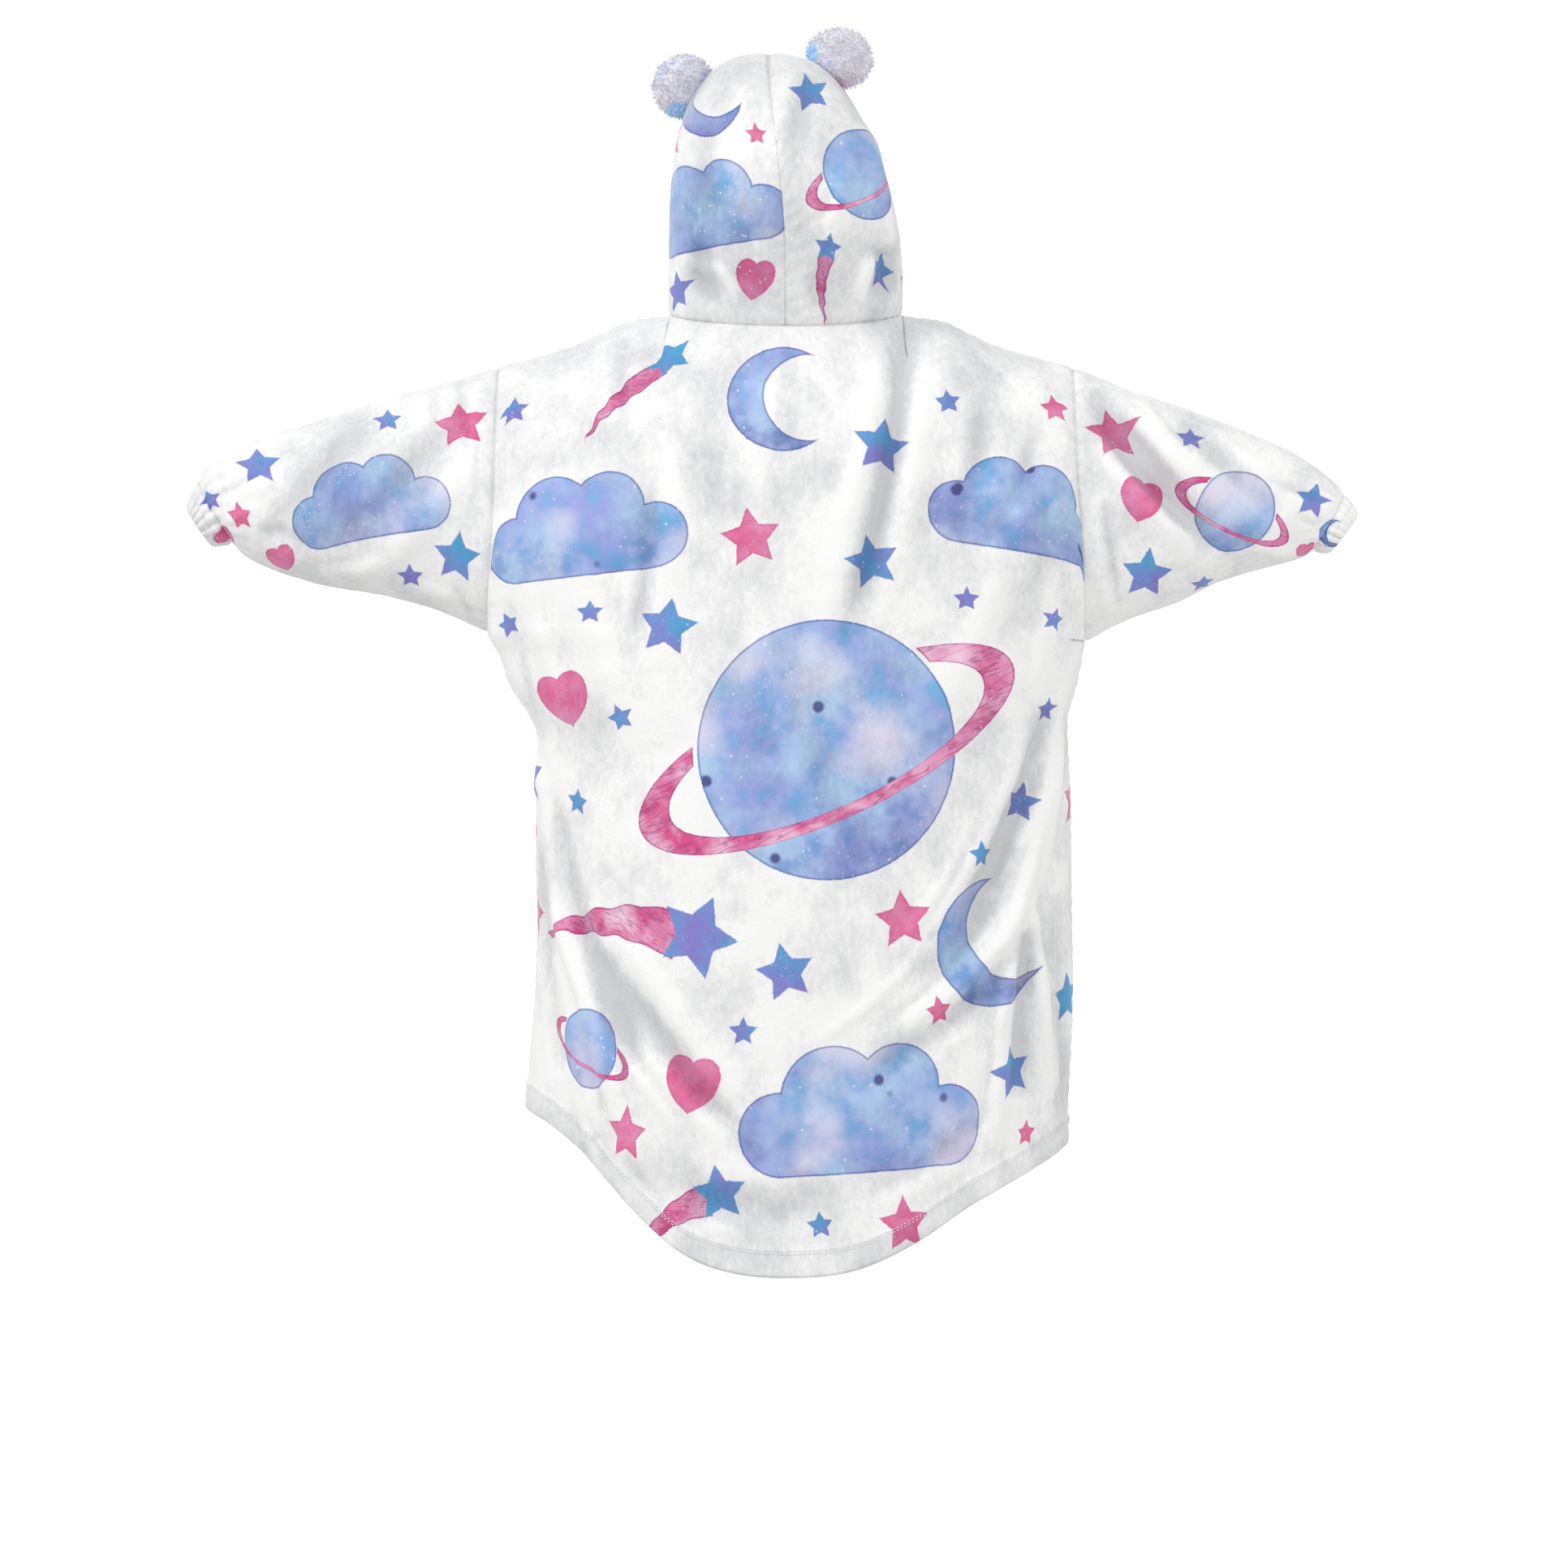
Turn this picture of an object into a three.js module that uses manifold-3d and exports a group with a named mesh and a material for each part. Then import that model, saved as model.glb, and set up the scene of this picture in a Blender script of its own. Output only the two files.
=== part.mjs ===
// A child's hooded wearable blanket, hollow, as it hangs on a wearer who stands with both arms held out.
// Millimetres, +Z up. The front faces -Y and the wearer's left arm points along +X.
// The origin is at the base of the neck, midway between the ends of the shoulder seams, where shoulders
// carry it. Every cloth piece is a wall on a grid of points, and grids sewn together share their seam points.

import * as THREE from "three";
import { mergeVertices } from "three/addons/utils/BufferGeometryUtils.js";
import Module from "manifold-3d";

const wasm = await Module();
wasm.setup();

// Cloth and seams
const CLOTH = 3;
const SEAM_GAP = 0.3;
const HEM_BAND = 23;
const HEM_RAISE = 1.2;
const HEM_STEP = 3;

// How finely the grids are cut
const NECK_COLUMNS = 18;
const SHOULDER_COLUMNS = 6;
const PANEL_COLUMNS = NECK_COLUMNS + 2 * SHOULDER_COLUMNS;
const ARMHOLE_ROWS = 12;
const SKIRT_ROWS = 12;
const SLEEVE_ROWS = 12;
const CUFF_ROWS = 3;
const HOOD_ROWS = 13;
const HOOD_COLUMNS = NECK_COLUMNS / 2;
const EAR_SEGMENTS = 20;
const EAR_RINGS = 12;

// Neckline: half its width, its reach behind and before, and its height at the side, behind and before
const NECK = { half: 95, back: 72, front: 82, sideZ: 6, backZ: -7, frontZ: -48 };
const NECK_ROUND = 0.9;
const NECK_DIP = 1.6;

// Body section: how square it is, and over what drop the cloth rounds off a shoulder and the neckline
const SECTION_SQUARE = 0.8;
const SHOULDER_SHARPNESS = 0.5;
const SHOULDER_DROP = 110;
const NECK_DROP = 105;
const FAN_DROP = 170;

// Height of the shoulder line, by its distance from the centre
const SHOULDER = [
  { x: 95, z: 6 },
  { x: 131, z: 1 },
  { x: 150, z: -8 },
  { x: 172, z: -18 },
  { x: 205, z: -28 },
  { x: 238, z: -37 },
];

// Body at each height: reach to the wearer's left and right, and depth behind and before
const BODY = [
  { z: 20, left: 236, right: 235, back: 92, front: 84 },
  { z: -40, left: 238, right: 237, back: 96, front: 88 },
  { z: -100, left: 239, right: 239, back: 106, front: 99 },
  { z: -180, left: 241, right: 243, back: 113, front: 108 },
  { z: -255, left: 246, right: 247, back: 116, front: 114 },
  { z: -275, left: 236, right: 245, back: 117, front: 116 },
  { z: -300, left: 227, right: 240, back: 118, front: 118 },
  { z: -325, left: 211, right: 233, back: 119, front: 120 },
  { z: -345, left: 204, right: 233, back: 119, front: 121 },
  { z: -400, left: 205, right: 235, back: 120, front: 122 },
  { z: -480, left: 204, right: 236, back: 122, front: 124 },
  { z: -560, left: 207, right: 237, back: 125, front: 126 },
  { z: -650, left: 213, right: 233, back: 128, front: 128 },
  { z: -800, left: 207, right: 226, back: 130, front: 130 },
];

// Height of the lower edge across the body, behind and before
const HEM = [
  { x: -236, back: -674, front: -674 },
  { x: -215, back: -688, front: -684 },
  { x: -190, back: -702, front: -694 },
  { x: -150, back: -724, front: -710 },
  { x: -105, back: -753, front: -731 },
  { x: -55, back: -774, front: -747 },
  { x: 0, back: -779, front: -752 },
  { x: 45, back: -775, front: -748 },
  { x: 82, back: -762, front: -737 },
  { x: 115, back: -736, front: -716 },
  { x: 142, back: -706, front: -694 },
  { x: 165, back: -680, front: -674 },
  { x: 190, back: -660, front: -658 },
  { x: 213, back: -648, front: -648 },
];

// Sleeves: at each share of the length, the upper and the lower point of the ring and half its depth
const LEFT_SLEEVE = [
  { s: 0, upX: 238, upZ: -37, lowX: 246, lowZ: -255, depth: 62 },
  { s: 0.2, upX: 290, upZ: -52, lowX: 283, lowZ: -238, depth: 60 },
  { s: 0.4, upX: 343, upZ: -67, lowX: 330, lowZ: -225, depth: 56 },
  { s: 0.6, upX: 394, upZ: -83, lowX: 380, lowZ: -216, depth: 50 },
  { s: 0.8, upX: 444, upZ: -99, lowX: 423, lowZ: -203, depth: 42 },
  { s: 0.93, upX: 475, upZ: -114, lowX: 447, lowZ: -191, depth: 34 },
  { s: 1, upX: 488, upZ: -131, lowX: 459, lowZ: -179, depth: 28 },
];
const RIGHT_SLEEVE = [
  { s: 0, upX: 238, upZ: -37, lowX: 247, lowZ: -263, depth: 62 },
  { s: 0.2, upX: 284, upZ: -55, lowX: 283, lowZ: -244, depth: 60 },
  { s: 0.4, upX: 331, upZ: -71, lowX: 324, lowZ: -230, depth: 56 },
  { s: 0.6, upX: 380, upZ: -90, lowX: 363, lowZ: -211, depth: 50 },
  { s: 0.8, upX: 426, upZ: -111, lowX: 405, lowZ: -199, depth: 42 },
  { s: 0.93, upX: 452, upZ: -129, lowX: 428, lowZ: -192, depth: 34 },
  { s: 1, upX: 463, upZ: -142, lowX: 438, lowZ: -186, depth: 28 },
];
const CUFF_PUFF = 2.5;
const CUFF_GATHERS = 12;
const GATHER_DEPTH = 1.3;
const LEFT_CUFF_END = { upX: 496, upZ: -153, lowX: 477, lowZ: -182, depth: 23 };
const RIGHT_CUFF_END = { upX: 474, upZ: -158, lowX: 453, lowZ: -187, depth: 23 };

// Hood: for each share of the neckline from the back to the front, the point of the crown that the cloth
// climbs to, how far it swells outwards and backwards on the way, and how soon it rounds over
const HOOD = [
  { share: 0, topY: 97, topZ: 150, outX: 0, outY: 24, climb: 0 },
  { share: 0.25, topY: 64, topZ: 197, outX: 18, outY: 18, climb: 0.8 },
  { share: 0.5, topY: 12, topZ: 222, outX: 4, outY: 2, climb: 1 },
  { share: 0.75, topY: -43, topZ: 222, outX: 22, outY: -4, climb: 1 },
  { share: 1, topY: -96, topZ: 202, outX: 75, outY: -8, climb: 1 },
];
const HOOD_ROUND = 0.75;
const HOOD_SWELL = 0.8;
const HOOD_LEAN = 14;
const HOOD_LEAN_FROM = 40;
const HOOD_LEAN_TO = 226;

// Ears: place of the middle, half sizes, and turn about Y in degrees
const EARS = [
  { name: "ear_left", x: 84, y: -4, z: 198, wide: 29, thick: 15, tall: 28, turn: 42 },
  { name: "ear_right", x: -45, y: -4, z: 222, wide: 29.5, thick: 15, tall: 27, turn: -24 },
];
const EAR_CUT_DEPTH = 30;

// Folds: three points that the crease line passes through, half its width, and its height out of the cloth
const BACK_FOLDS = [
  { x0: 200, z0: -431, x1: 181, z1: -535, x2: 120, z2: -700, width: 24, rise: 9 },
  { x0: 194, z0: -395, x1: 164, z1: -485, x2: 112, z2: -620, width: 24, rise: -7 },
  { x0: 153, z0: -500, x1: 112, z1: -585, x2: 55, z2: -655, width: 26, rise: 4 },
  { x0: -226, z0: -300, x1: -190, z1: -395, x2: -120, z2: -520, width: 26, rise: -12 },
  { x0: -205, z0: -340, x1: -150, z1: -458, x2: -40, z2: -590, width: 26, rise: 6 },
  { x0: -150, z0: -500, x1: -92, z1: -572, x2: -10, z2: -622, width: 24, rise: -5 },
  { x0: -203, z0: -430, x1: -150, z1: -560, x2: -45, z2: -640, width: 24, rise: 5 },
  { x0: -208, z0: -480, x1: -192, z1: -600, x2: -176, z2: -740, width: 28, rise: -10 },
  { x0: -96, z0: -20, x1: -74, z1: -139, x2: -44, z2: -275, width: 30, rise: -6 },
  { x0: -40, z0: -15, x1: -28, z1: -130, x2: 20, z2: -260, width: 34, rise: 4 },
  { x0: 130, z0: -30, x1: 118, z1: -160, x2: 112, z2: -290, width: 30, rise: -5 },
  { x0: 190, z0: -120, x1: 165, z1: -240, x2: 110, z2: -350, width: 30, rise: 4 },
  { x0: -165, z0: -60, x1: -148, z1: -170, x2: -100, z2: -300, width: 28, rise: -4 },
  { x0: 130, z0: -600, x1: 26, z1: -660, x2: -90, z2: -620, width: 24, rise: -3 },
  { x0: 110, z0: -690, x1: 20, z1: -722, x2: -100, z2: -690, width: 26, rise: -3 },
];
const FRONT_FOLDS = [
  { x0: 205, z0: -300, x1: 175, z1: -420, x2: 120, z2: -560, width: 26, rise: -8 },
  { x0: 212, z0: -360, x1: 190, z1: -500, x2: 150, z2: -690, width: 26, rise: 6 },
  { x0: -215, z0: -310, x1: -180, z1: -430, x2: -112, z2: -580, width: 26, rise: -8 },
  { x0: -218, z0: -380, x1: -196, z1: -520, x2: -160, z2: -720, width: 26, rise: 6 },
  { x0: 70, z0: -60, x1: 62, z1: -190, x2: 84, z2: -340, width: 30, rise: -5 },
  { x0: -60, z0: -70, x1: -66, z1: -210, x2: -90, z2: -350, width: 30, rise: -5 },
  { x0: 6, z0: -110, x1: 0, z1: -250, x2: 12, z2: -390, width: 34, rise: 4 },
  { x0: 128, z0: -520, x1: 20, z1: -590, x2: -96, z2: -540, width: 26, rise: -4 },
  { x0: 120, z0: -610, x1: 0, z1: -668, x2: -110, z2: -620, width: 26, rise: -3 },
  { x0: 60, z0: -560, x1: 52, z1: -660, x2: 60, z2: -780, width: 28, rise: 5 },
  { x0: -70, z0: -570, x1: -62, z1: -670, x2: -74, z2: -780, width: 28, rise: 5 },
];
const LEFT_SLEEVE_FOLDS = [
  { x0: 262, z0: -60, x1: 312, z1: -130, x2: 372, z2: -190, width: 20, rise: -5 },
  { x0: 254, z0: -110, x1: 300, z1: -170, x2: 350, z2: -215, width: 18, rise: 4 },
  { x0: 340, z0: -80, x1: 385, z1: -130, x2: 430, z2: -180, width: 18, rise: -4 },
];
const RIGHT_SLEEVE_FOLDS = [
  { x0: -250, z0: -58, x1: -292, z1: -118, x2: -352, z2: -190, width: 22, rise: -11 },
  { x0: -256, z0: -100, x1: -300, z1: -155, x2: -350, z2: -208, width: 18, rise: 4 },
  { x0: -285, z0: -62, x1: -322, z1: -110, x2: -362, z2: -150, width: 18, rise: 5 },
  { x0: -330, z0: -78, x1: -365, z1: -120, x2: -410, z2: -160, width: 16, rise: -4 },
];
const HOOD_FOLDS = [
  { x0: 66, z0: 58, x1: 70, z1: 36, x2: 52, z2: 14, width: 17, rise: -9 },
  { x0: -84, z0: 56, x1: -82, z1: 36, x2: -74, z2: 16, width: 16, rise: -9 },
  { x0: -22, z0: 200, x1: -12, z1: 160, x2: -6, z2: 110, width: 18, rise: -5 },
  { x0: 34, z0: 190, x1: 40, z1: 140, x2: 36, z2: 90, width: 20, rise: 4 },
  { x0: -50, z0: 150, x1: -46, z1: 105, x2: -30, z2: 60, width: 20, rise: 4 },
];
const FOLD_STEPS = 12;
const SIDE_CALM = 0.1;
const TOP_CALM = 45;
const SLEEVE_CALM = 0.12;
const HOOD_CALM = 0.14;
const HOOD_FOLD_BACK = 30;

const WHITE_FLEECE = { color: 0xf1f1f3, roughness: 0.92, metalness: 0 };
const EAR_PLUSH = { color: 0xdcdae6, roughness: 0.96, metalness: 0 };

const lerp = (a, b, t) => a + (b - a) * t;
const clamp01 = (t) => Math.min(1, Math.max(0, t));
const radians = (degrees) => (degrees * Math.PI) / 180;

function smooth(t) {
  const c = clamp01(t);
  return c * c * (3 - 2 * c);
}

// Reads one column of a table at a place, on a cubic through its rows.
function read(table, by, column, at) {
  const last = table.length - 1;
  const rising = table[last][by] > table[0][by];
  let k = 0;
  while (k < last - 1 && (rising ? at > table[k + 1][by] : at < table[k + 1][by])) k += 1;
  const slope = (i) => {
    const low = table[Math.max(0, i - 1)];
    const high = table[Math.min(last, i + 1)];
    return (high[column] - low[column]) / (high[by] - low[by]);
  };
  const a = table[k];
  const b = table[k + 1];
  const span = b[by] - a[by];
  const t = clamp01((at - a[by]) / span);
  const t2 = t * t;
  const t3 = t2 * t;
  const start = (2 * t3 - 3 * t2 + 1) * a[column] + (t3 - 2 * t2 + t) * span * slope(k);
  const end = (3 * t2 - 2 * t3) * b[column] + (t3 - t2) * span * slope(k + 1);
  return start + end;
}

// The point at a share t of a fold's line, which is a curve through its three points.
function foldPoint(f, t) {
  const bendX = 2 * f.x1 - (f.x0 + f.x2) / 2;
  const bendZ = 2 * f.z1 - (f.z0 + f.z2) / 2;
  const r = 1 - t;
  const x = r * r * f.x0 + 2 * r * t * bendX + t * t * f.x2;
  const z = r * r * f.z0 + 2 * r * t * bendZ + t * t * f.z2;
  return { x, z };
}

// How far a list of folds lifts the cloth at a point of the front or back view.
function foldLift(folds, x, z) {
  let lift = 0;
  for (const f of folds) {
    let nearest = Infinity;
    let nearT = 0;
    for (let k = 0; k < FOLD_STEPS; k += 1) {
      const a = foldPoint(f, k / FOLD_STEPS);
      const b = foldPoint(f, (k + 1) / FOLD_STEPS);
      const stepX = b.x - a.x;
      const stepZ = b.z - a.z;
      const dot = (x - a.x) * stepX + (z - a.z) * stepZ;
      const along = clamp01(dot / (stepX * stepX + stepZ * stepZ));
      const away = Math.hypot(x - a.x - along * stepX, z - a.z - along * stepZ);
      if (away < nearest) {
        nearest = away;
        nearT = (k + along) / FOLD_STEPS;
      }
    }
    if (nearest < f.width) {
      const across = 0.5 + 0.5 * Math.cos((Math.PI * nearest) / f.width);
      lift += f.rise * across * Math.sqrt(Math.sin(Math.PI * nearT));
    }
  }
  return lift;
}

// The round stretch of the neckline: angle 0 is the centre and 90 degrees the side.
function neckPoint(angle, side) {
  const reach = Math.cos(angle) > 1e-6 ? Math.cos(angle) ** NECK_ROUND : 0;
  const depth = side > 0 ? NECK.back : -NECK.front;
  const height = side > 0 ? NECK.backZ : NECK.frontZ;
  const z = lerp(NECK.sideZ, height, reach ** NECK_DIP);
  return new THREE.Vector3(NECK.half * Math.sin(angle), depth * reach, z);
}

// The top edge of a body panel at a share u of its width, from -1 on the right to 1 on the left.
function topEdge(u, side) {
  const neckShare = NECK_COLUMNS / PANEL_COLUMNS;
  const out = Math.abs(u);
  if (out <= neckShare + 1e-9) {
    const p = neckPoint((out / neckShare) * (Math.PI / 2), side);
    p.x *= Math.sign(u);
    return p;
  }
  const arm = u > 0 ? LEFT_SLEEVE[0] : RIGHT_SLEEVE[0];
  const x = lerp(NECK.half, arm.upX, (out - neckShare) / (1 - neckShare));
  return new THREE.Vector3(Math.sign(u) * x, 0, read(SHOULDER, "x", "z", x));
}

// Half the depth of the armhole at a height.
function armholeDepth(z, underarmZ) {
  const half = (LEFT_SLEEVE[0].upZ - underarmZ) / 2;
  const below = clamp01((underarmZ + half - z) / half);
  return LEFT_SLEEVE[0].depth * Math.sqrt(1 - below * below);
}

// A point of a body section, which runs from the centre round to the side seam or to the armhole.
function sectionPoint(u, z, underarmZ, side) {
  const reach = read(BODY, "z", u > 0 ? "left" : "right", z);
  const depth = read(BODY, "z", side > 0 ? "back" : "front", z);
  const edge = z > underarmZ ? armholeDepth(z, underarmZ) / depth : 0;
  const turn = Math.acos(edge ** (1 / SECTION_SQUARE));
  const a = Math.abs(u) * turn;
  const x = (Math.sign(u) * reach * Math.sin(a)) / Math.sin(turn);
  return new THREE.Vector3(x, side * depth * Math.max(0, Math.cos(a)) ** SECTION_SQUARE, z);
}

// Heights of a panel's rows below one point of its top edge.
function panelHeights(top, underarmZ, hemZ) {
  const heights = [];
  for (let i = 0; i <= ARMHOLE_ROWS; i += 1) {
    heights.push(lerp(top, underarmZ, (1 - Math.cos((Math.PI * i) / ARMHOLE_ROWS)) / 2));
  }
  const stitchZ = hemZ + HEM_BAND;
  for (let i = 1; i <= SKIRT_ROWS; i += 1) heights.push(lerp(underarmZ, stitchZ, i / SKIRT_ROWS));
  heights.push(stitchZ - HEM_STEP, hemZ);
  return heights;
}

// Back or front panel: one row of points for each height, from the right side to the left.
function bodyPanel(side, folds) {
  const columns = [];
  for (let j = 0; j <= PANEL_COLUMNS; j += 1) {
    const u = -1 + (2 * j) / PANEL_COLUMNS;
    const top = topEdge(u, side);
    const underarmZ = lerp(RIGHT_SLEEVE[0].lowZ, LEFT_SLEEVE[0].lowZ, (u + 1) / 2);
    const sideX = read(BODY, "z", u > 0 ? "left" : "right", HEM[0].back) * Math.sin((u * Math.PI) / 2);
    const hemZ = read(HEM, "x", side > 0 ? "back" : "front", sideX);
    const neckShare = 1 - clamp01((Math.abs(u) * PANEL_COLUMNS) / NECK_COLUMNS) ** 2;
    const drop = lerp(SHOULDER_DROP, NECK_DROP, neckShare);
    const sharpness = lerp(SHOULDER_SHARPNESS, 1, neckShare);
    columns.push(
      panelHeights(top.z, underarmZ, hemZ).map((z) => {
        const below = top.z - z;
        const p = sectionPoint(u, z, underarmZ, side);
        const rounded = (1 - (1 - clamp01(below / drop)) ** 2) ** sharpness;
        p.y = lerp(top.y, p.y, rounded);
        p.x = lerp(top.x, p.x, smooth(below / FAN_DROP));
        p.calm = smooth((1 - Math.abs(u)) / SIDE_CALM) * smooth(below / TOP_CALM);
        return p;
      }),
    );
  }
  const rows = columns[0].map((_, i) => columns.map((column) => column[i]));
  return { rows, folds, flip: side < 0, seams: { start: true, end: false, sides: true } };
}

// The closed loop of an armhole: down the back edge and up the front edge.
function armholeLoop(back, front, column) {
  const down = back.rows.slice(0, ARMHOLE_ROWS + 1).map((row) => row[column]);
  const up = front.rows.slice(1, ARMHOLE_ROWS).map((row) => row[column]);
  return [...down, ...up.reverse()];
}

// A ring of the sleeve: the armhole loop, fitted between an upper and a lower point.
function fittedRing(loop, ring, hand) {
  const top = loop[0];
  const low = loop[ARMHOLE_ROWS];
  return loop.map((p) => {
    const up = (p.z - low.z) / (top.z - low.z);
    const x = hand * lerp(ring.lowX, ring.upX, up);
    const y = (p.y / LEFT_SLEEVE[0].depth) * ring.depth;
    return new THREE.Vector3(x, y, lerp(ring.lowZ, ring.upZ, up));
  });
}

function ringAt(table, s) {
  const ring = {};
  for (const column of ["upX", "upZ", "lowX", "lowZ", "depth"]) ring[column] = read(table, "s", column, s);
  return ring;
}

function sleeve(loop, table, hand, folds) {
  const rows = [loop];
  for (let i = 1; i <= SLEEVE_ROWS; i += 1) {
    const s = i / SLEEVE_ROWS;
    const ring = fittedRing(loop, ringAt(table, s), hand);
    for (const p of ring) p.calm = smooth(s / SLEEVE_CALM) * smooth((1 - s) / SLEEVE_CALM);
    rows.push(ring);
  }
  return { rows, folds, wrap: true, flip: hand > 0, seams: { start: true, end: true, sides: false } };
}

// Puts a point halfway along each side of a closed ring.
function halved(ring) {
  return ring.flatMap((p, j) => [p, p.clone().lerp(ring[(j + 1) % ring.length], 0.5)]);
}

// A gathered cuff, from the end of the sleeve to the wrist.
function cuff(loop, sleeveEnd, table, end, hand) {
  const start = ringAt(table, 1);
  const rows = [halved(sleeveEnd)];
  for (let i = 1; i <= CUFF_ROWS; i += 1) {
    const t = i / CUFF_ROWS;
    const ring = {};
    for (const column of Object.keys(start)) ring[column] = lerp(start[column], end[column], t);
    ring.depth += CUFF_PUFF * Math.sin(Math.PI * t);
    const made = halved(fittedRing(loop, ring, hand));
    const middle = made.reduce((sum, p) => sum.add(p), new THREE.Vector3()).divideScalar(made.length);
    made.forEach((p, j) => {
      const wave = Math.cos((2 * Math.PI * CUFF_GATHERS * j) / made.length);
      p.add(p.clone().sub(middle).normalize().multiplyScalar(GATHER_DEPTH * wave));
    });
    rows.push(made);
  }
  const seams = { start: true, end: false, sides: false };
  return { rows, wrap: true, flip: hand > 0, fineStart: true, seams };
}

// One half of the hood: rows that climb from the neckline to the crown, from the back seam to the face.
function hoodHalf(back, front, hand) {
  const centre = PANEL_COLUMNS / 2;
  const neck = [];
  for (let k = 0; k <= HOOD_COLUMNS; k += 1) neck.push(back.rows[0][centre + hand * k]);
  for (let k = HOOD_COLUMNS - 1; k >= 0; k -= 1) neck.push(front.rows[0][centre + hand * k]);
  const rows = [neck];
  for (let i = 1; i <= HOOD_ROWS; i += 1) {
    const turn = i / HOOD_ROWS;
    const a = (turn * Math.PI) / 2;
    const inwards = i < HOOD_ROWS ? Math.cos(a) ** HOOD_ROUND : 0;
    const swell = i < HOOD_ROWS ? Math.sin(2 * a) ** HOOD_SWELL : 0;
    rows.push(
      neck.map((foot, j) => {
        const share = j / (neck.length - 1);
        const at = (column) => read(HOOD, "share", column, share);
        const x = hand * (Math.abs(foot.x) * inwards + at("outX") * swell);
        const y = lerp(foot.y, at("topY"), 1 - Math.cos(a)) + at("outY") * swell;
        const z = lerp(foot.z, at("topZ"), lerp(turn, Math.sin(a), at("climb")));
        const lean = HOOD_LEAN * smooth((z - HOOD_LEAN_FROM) / (HOOD_LEAN_TO - HOOD_LEAN_FROM));
        const p = new THREE.Vector3(x + lean, y, z);
        p.calm = smooth(turn / HOOD_CALM) * smooth((1 - turn) / HOOD_CALM) * smooth(share / HOOD_CALM);
        p.calm *= smooth(y / HOOD_FOLD_BACK);
        return p;
      }),
    );
  }
  return { rows, folds: HOOD_FOLDS, flip: hand > 0, seams: { start: true, end: true, sides: true } };
}

const keyOf = (p) => [p.x, p.y, p.z].map((v) => Math.round(v * 100)).join(",");

// Adds each grid's face normals up at its points, shared by all the grids that meet there.
function sewnNormals(grids) {
  const sums = new Map();
  const add = (p, n) => {
    const key = keyOf(p);
    if (!sums.has(key)) sums.set(key, new THREE.Vector3());
    sums.get(key).add(n);
  };
  for (const grid of grids) {
    const { rows, wrap, flip } = grid;
    const count = rows[0].length;
    for (let i = 0; i + 1 < rows.length; i += 1) {
      for (let j = 0; j < (wrap ? count : count - 1); j += 1) {
        const next = (j + 1) % count;
        const [a, b] = [rows[i][j], rows[i][next]];
        const [c, d] = [rows[i + 1][next], rows[i + 1][j]];
        const n = c.clone().sub(a).cross(d.clone().sub(b));
        if (flip) n.negate();
        n.normalize();
        for (const p of [a, b, c, d]) add(p, n);
      }
    }
  }
  return grids.map((grid) => {
    const normals = grid.rows.map((row) => row.map((p) => sums.get(keyOf(p)).clone().normalize()));
    if (grid.fineStart) evenOut(normals[0]);
    return normals;
  });
}

// Gives every second point of a finely cut ring the mean direction of its neighbours on the seam.
function evenOut(normals) {
  for (let k = 1; k < normals.length; k += 2) {
    normals[k] = normals[k - 1].clone().add(normals[(k + 1) % normals.length]).normalize();
  }
}

// Moves the calm inner points of each grid along their normals by the folds.
function foldGrids(grids) {
  const normals = sewnNormals(grids);
  grids.forEach((grid, g) => {
    if (!grid.folds) return;
    grid.rows.forEach((row, i) =>
      row.forEach((p, j) => {
        if (p.calm) p.addScaledVector(normals[g][i][j], p.calm * foldLift(grid.folds, p.x, p.z));
      }),
    );
  });
}

// A step of half the seam gap from a seam point into its own cloth, square to the line of the seam.
function seamStep(p, inwards, before, after) {
  const along = after.clone().sub(before).normalize();
  const step = inwards.clone().sub(p);
  return step.addScaledVector(along, -step.dot(along)).setLength(SEAM_GAP / 2);
}

// The points of a grid, drawn back from its seams by half of the gap.
function drawnBack(grid) {
  const { rows, wrap, seams } = grid;
  const last = rows.length - 1;
  const end = rows[0].length - 1;
  return rows.map((row, i) =>
    row.map((p, j) => {
      const q = p.clone();
      const left = wrap ? row[(j + end) % (end + 1)] : row[Math.max(0, j - 1)];
      const right = wrap ? row[(j + 1) % (end + 1)] : row[Math.min(end, j + 1)];
      const up = rows[Math.max(0, i - 1)][j];
      const down = rows[Math.min(last, i + 1)][j];
      if (seams.start && i === 0) q.add(seamStep(p, down, left, right));
      if (seams.end && i === last) q.add(seamStep(p, up, left, right));
      if (seams.sides && !wrap && j === 0) q.add(seamStep(p, right, up, down));
      if (seams.sides && !wrap && j === end) q.add(seamStep(p, left, up, down));
      return q;
    }),
  );
}

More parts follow.
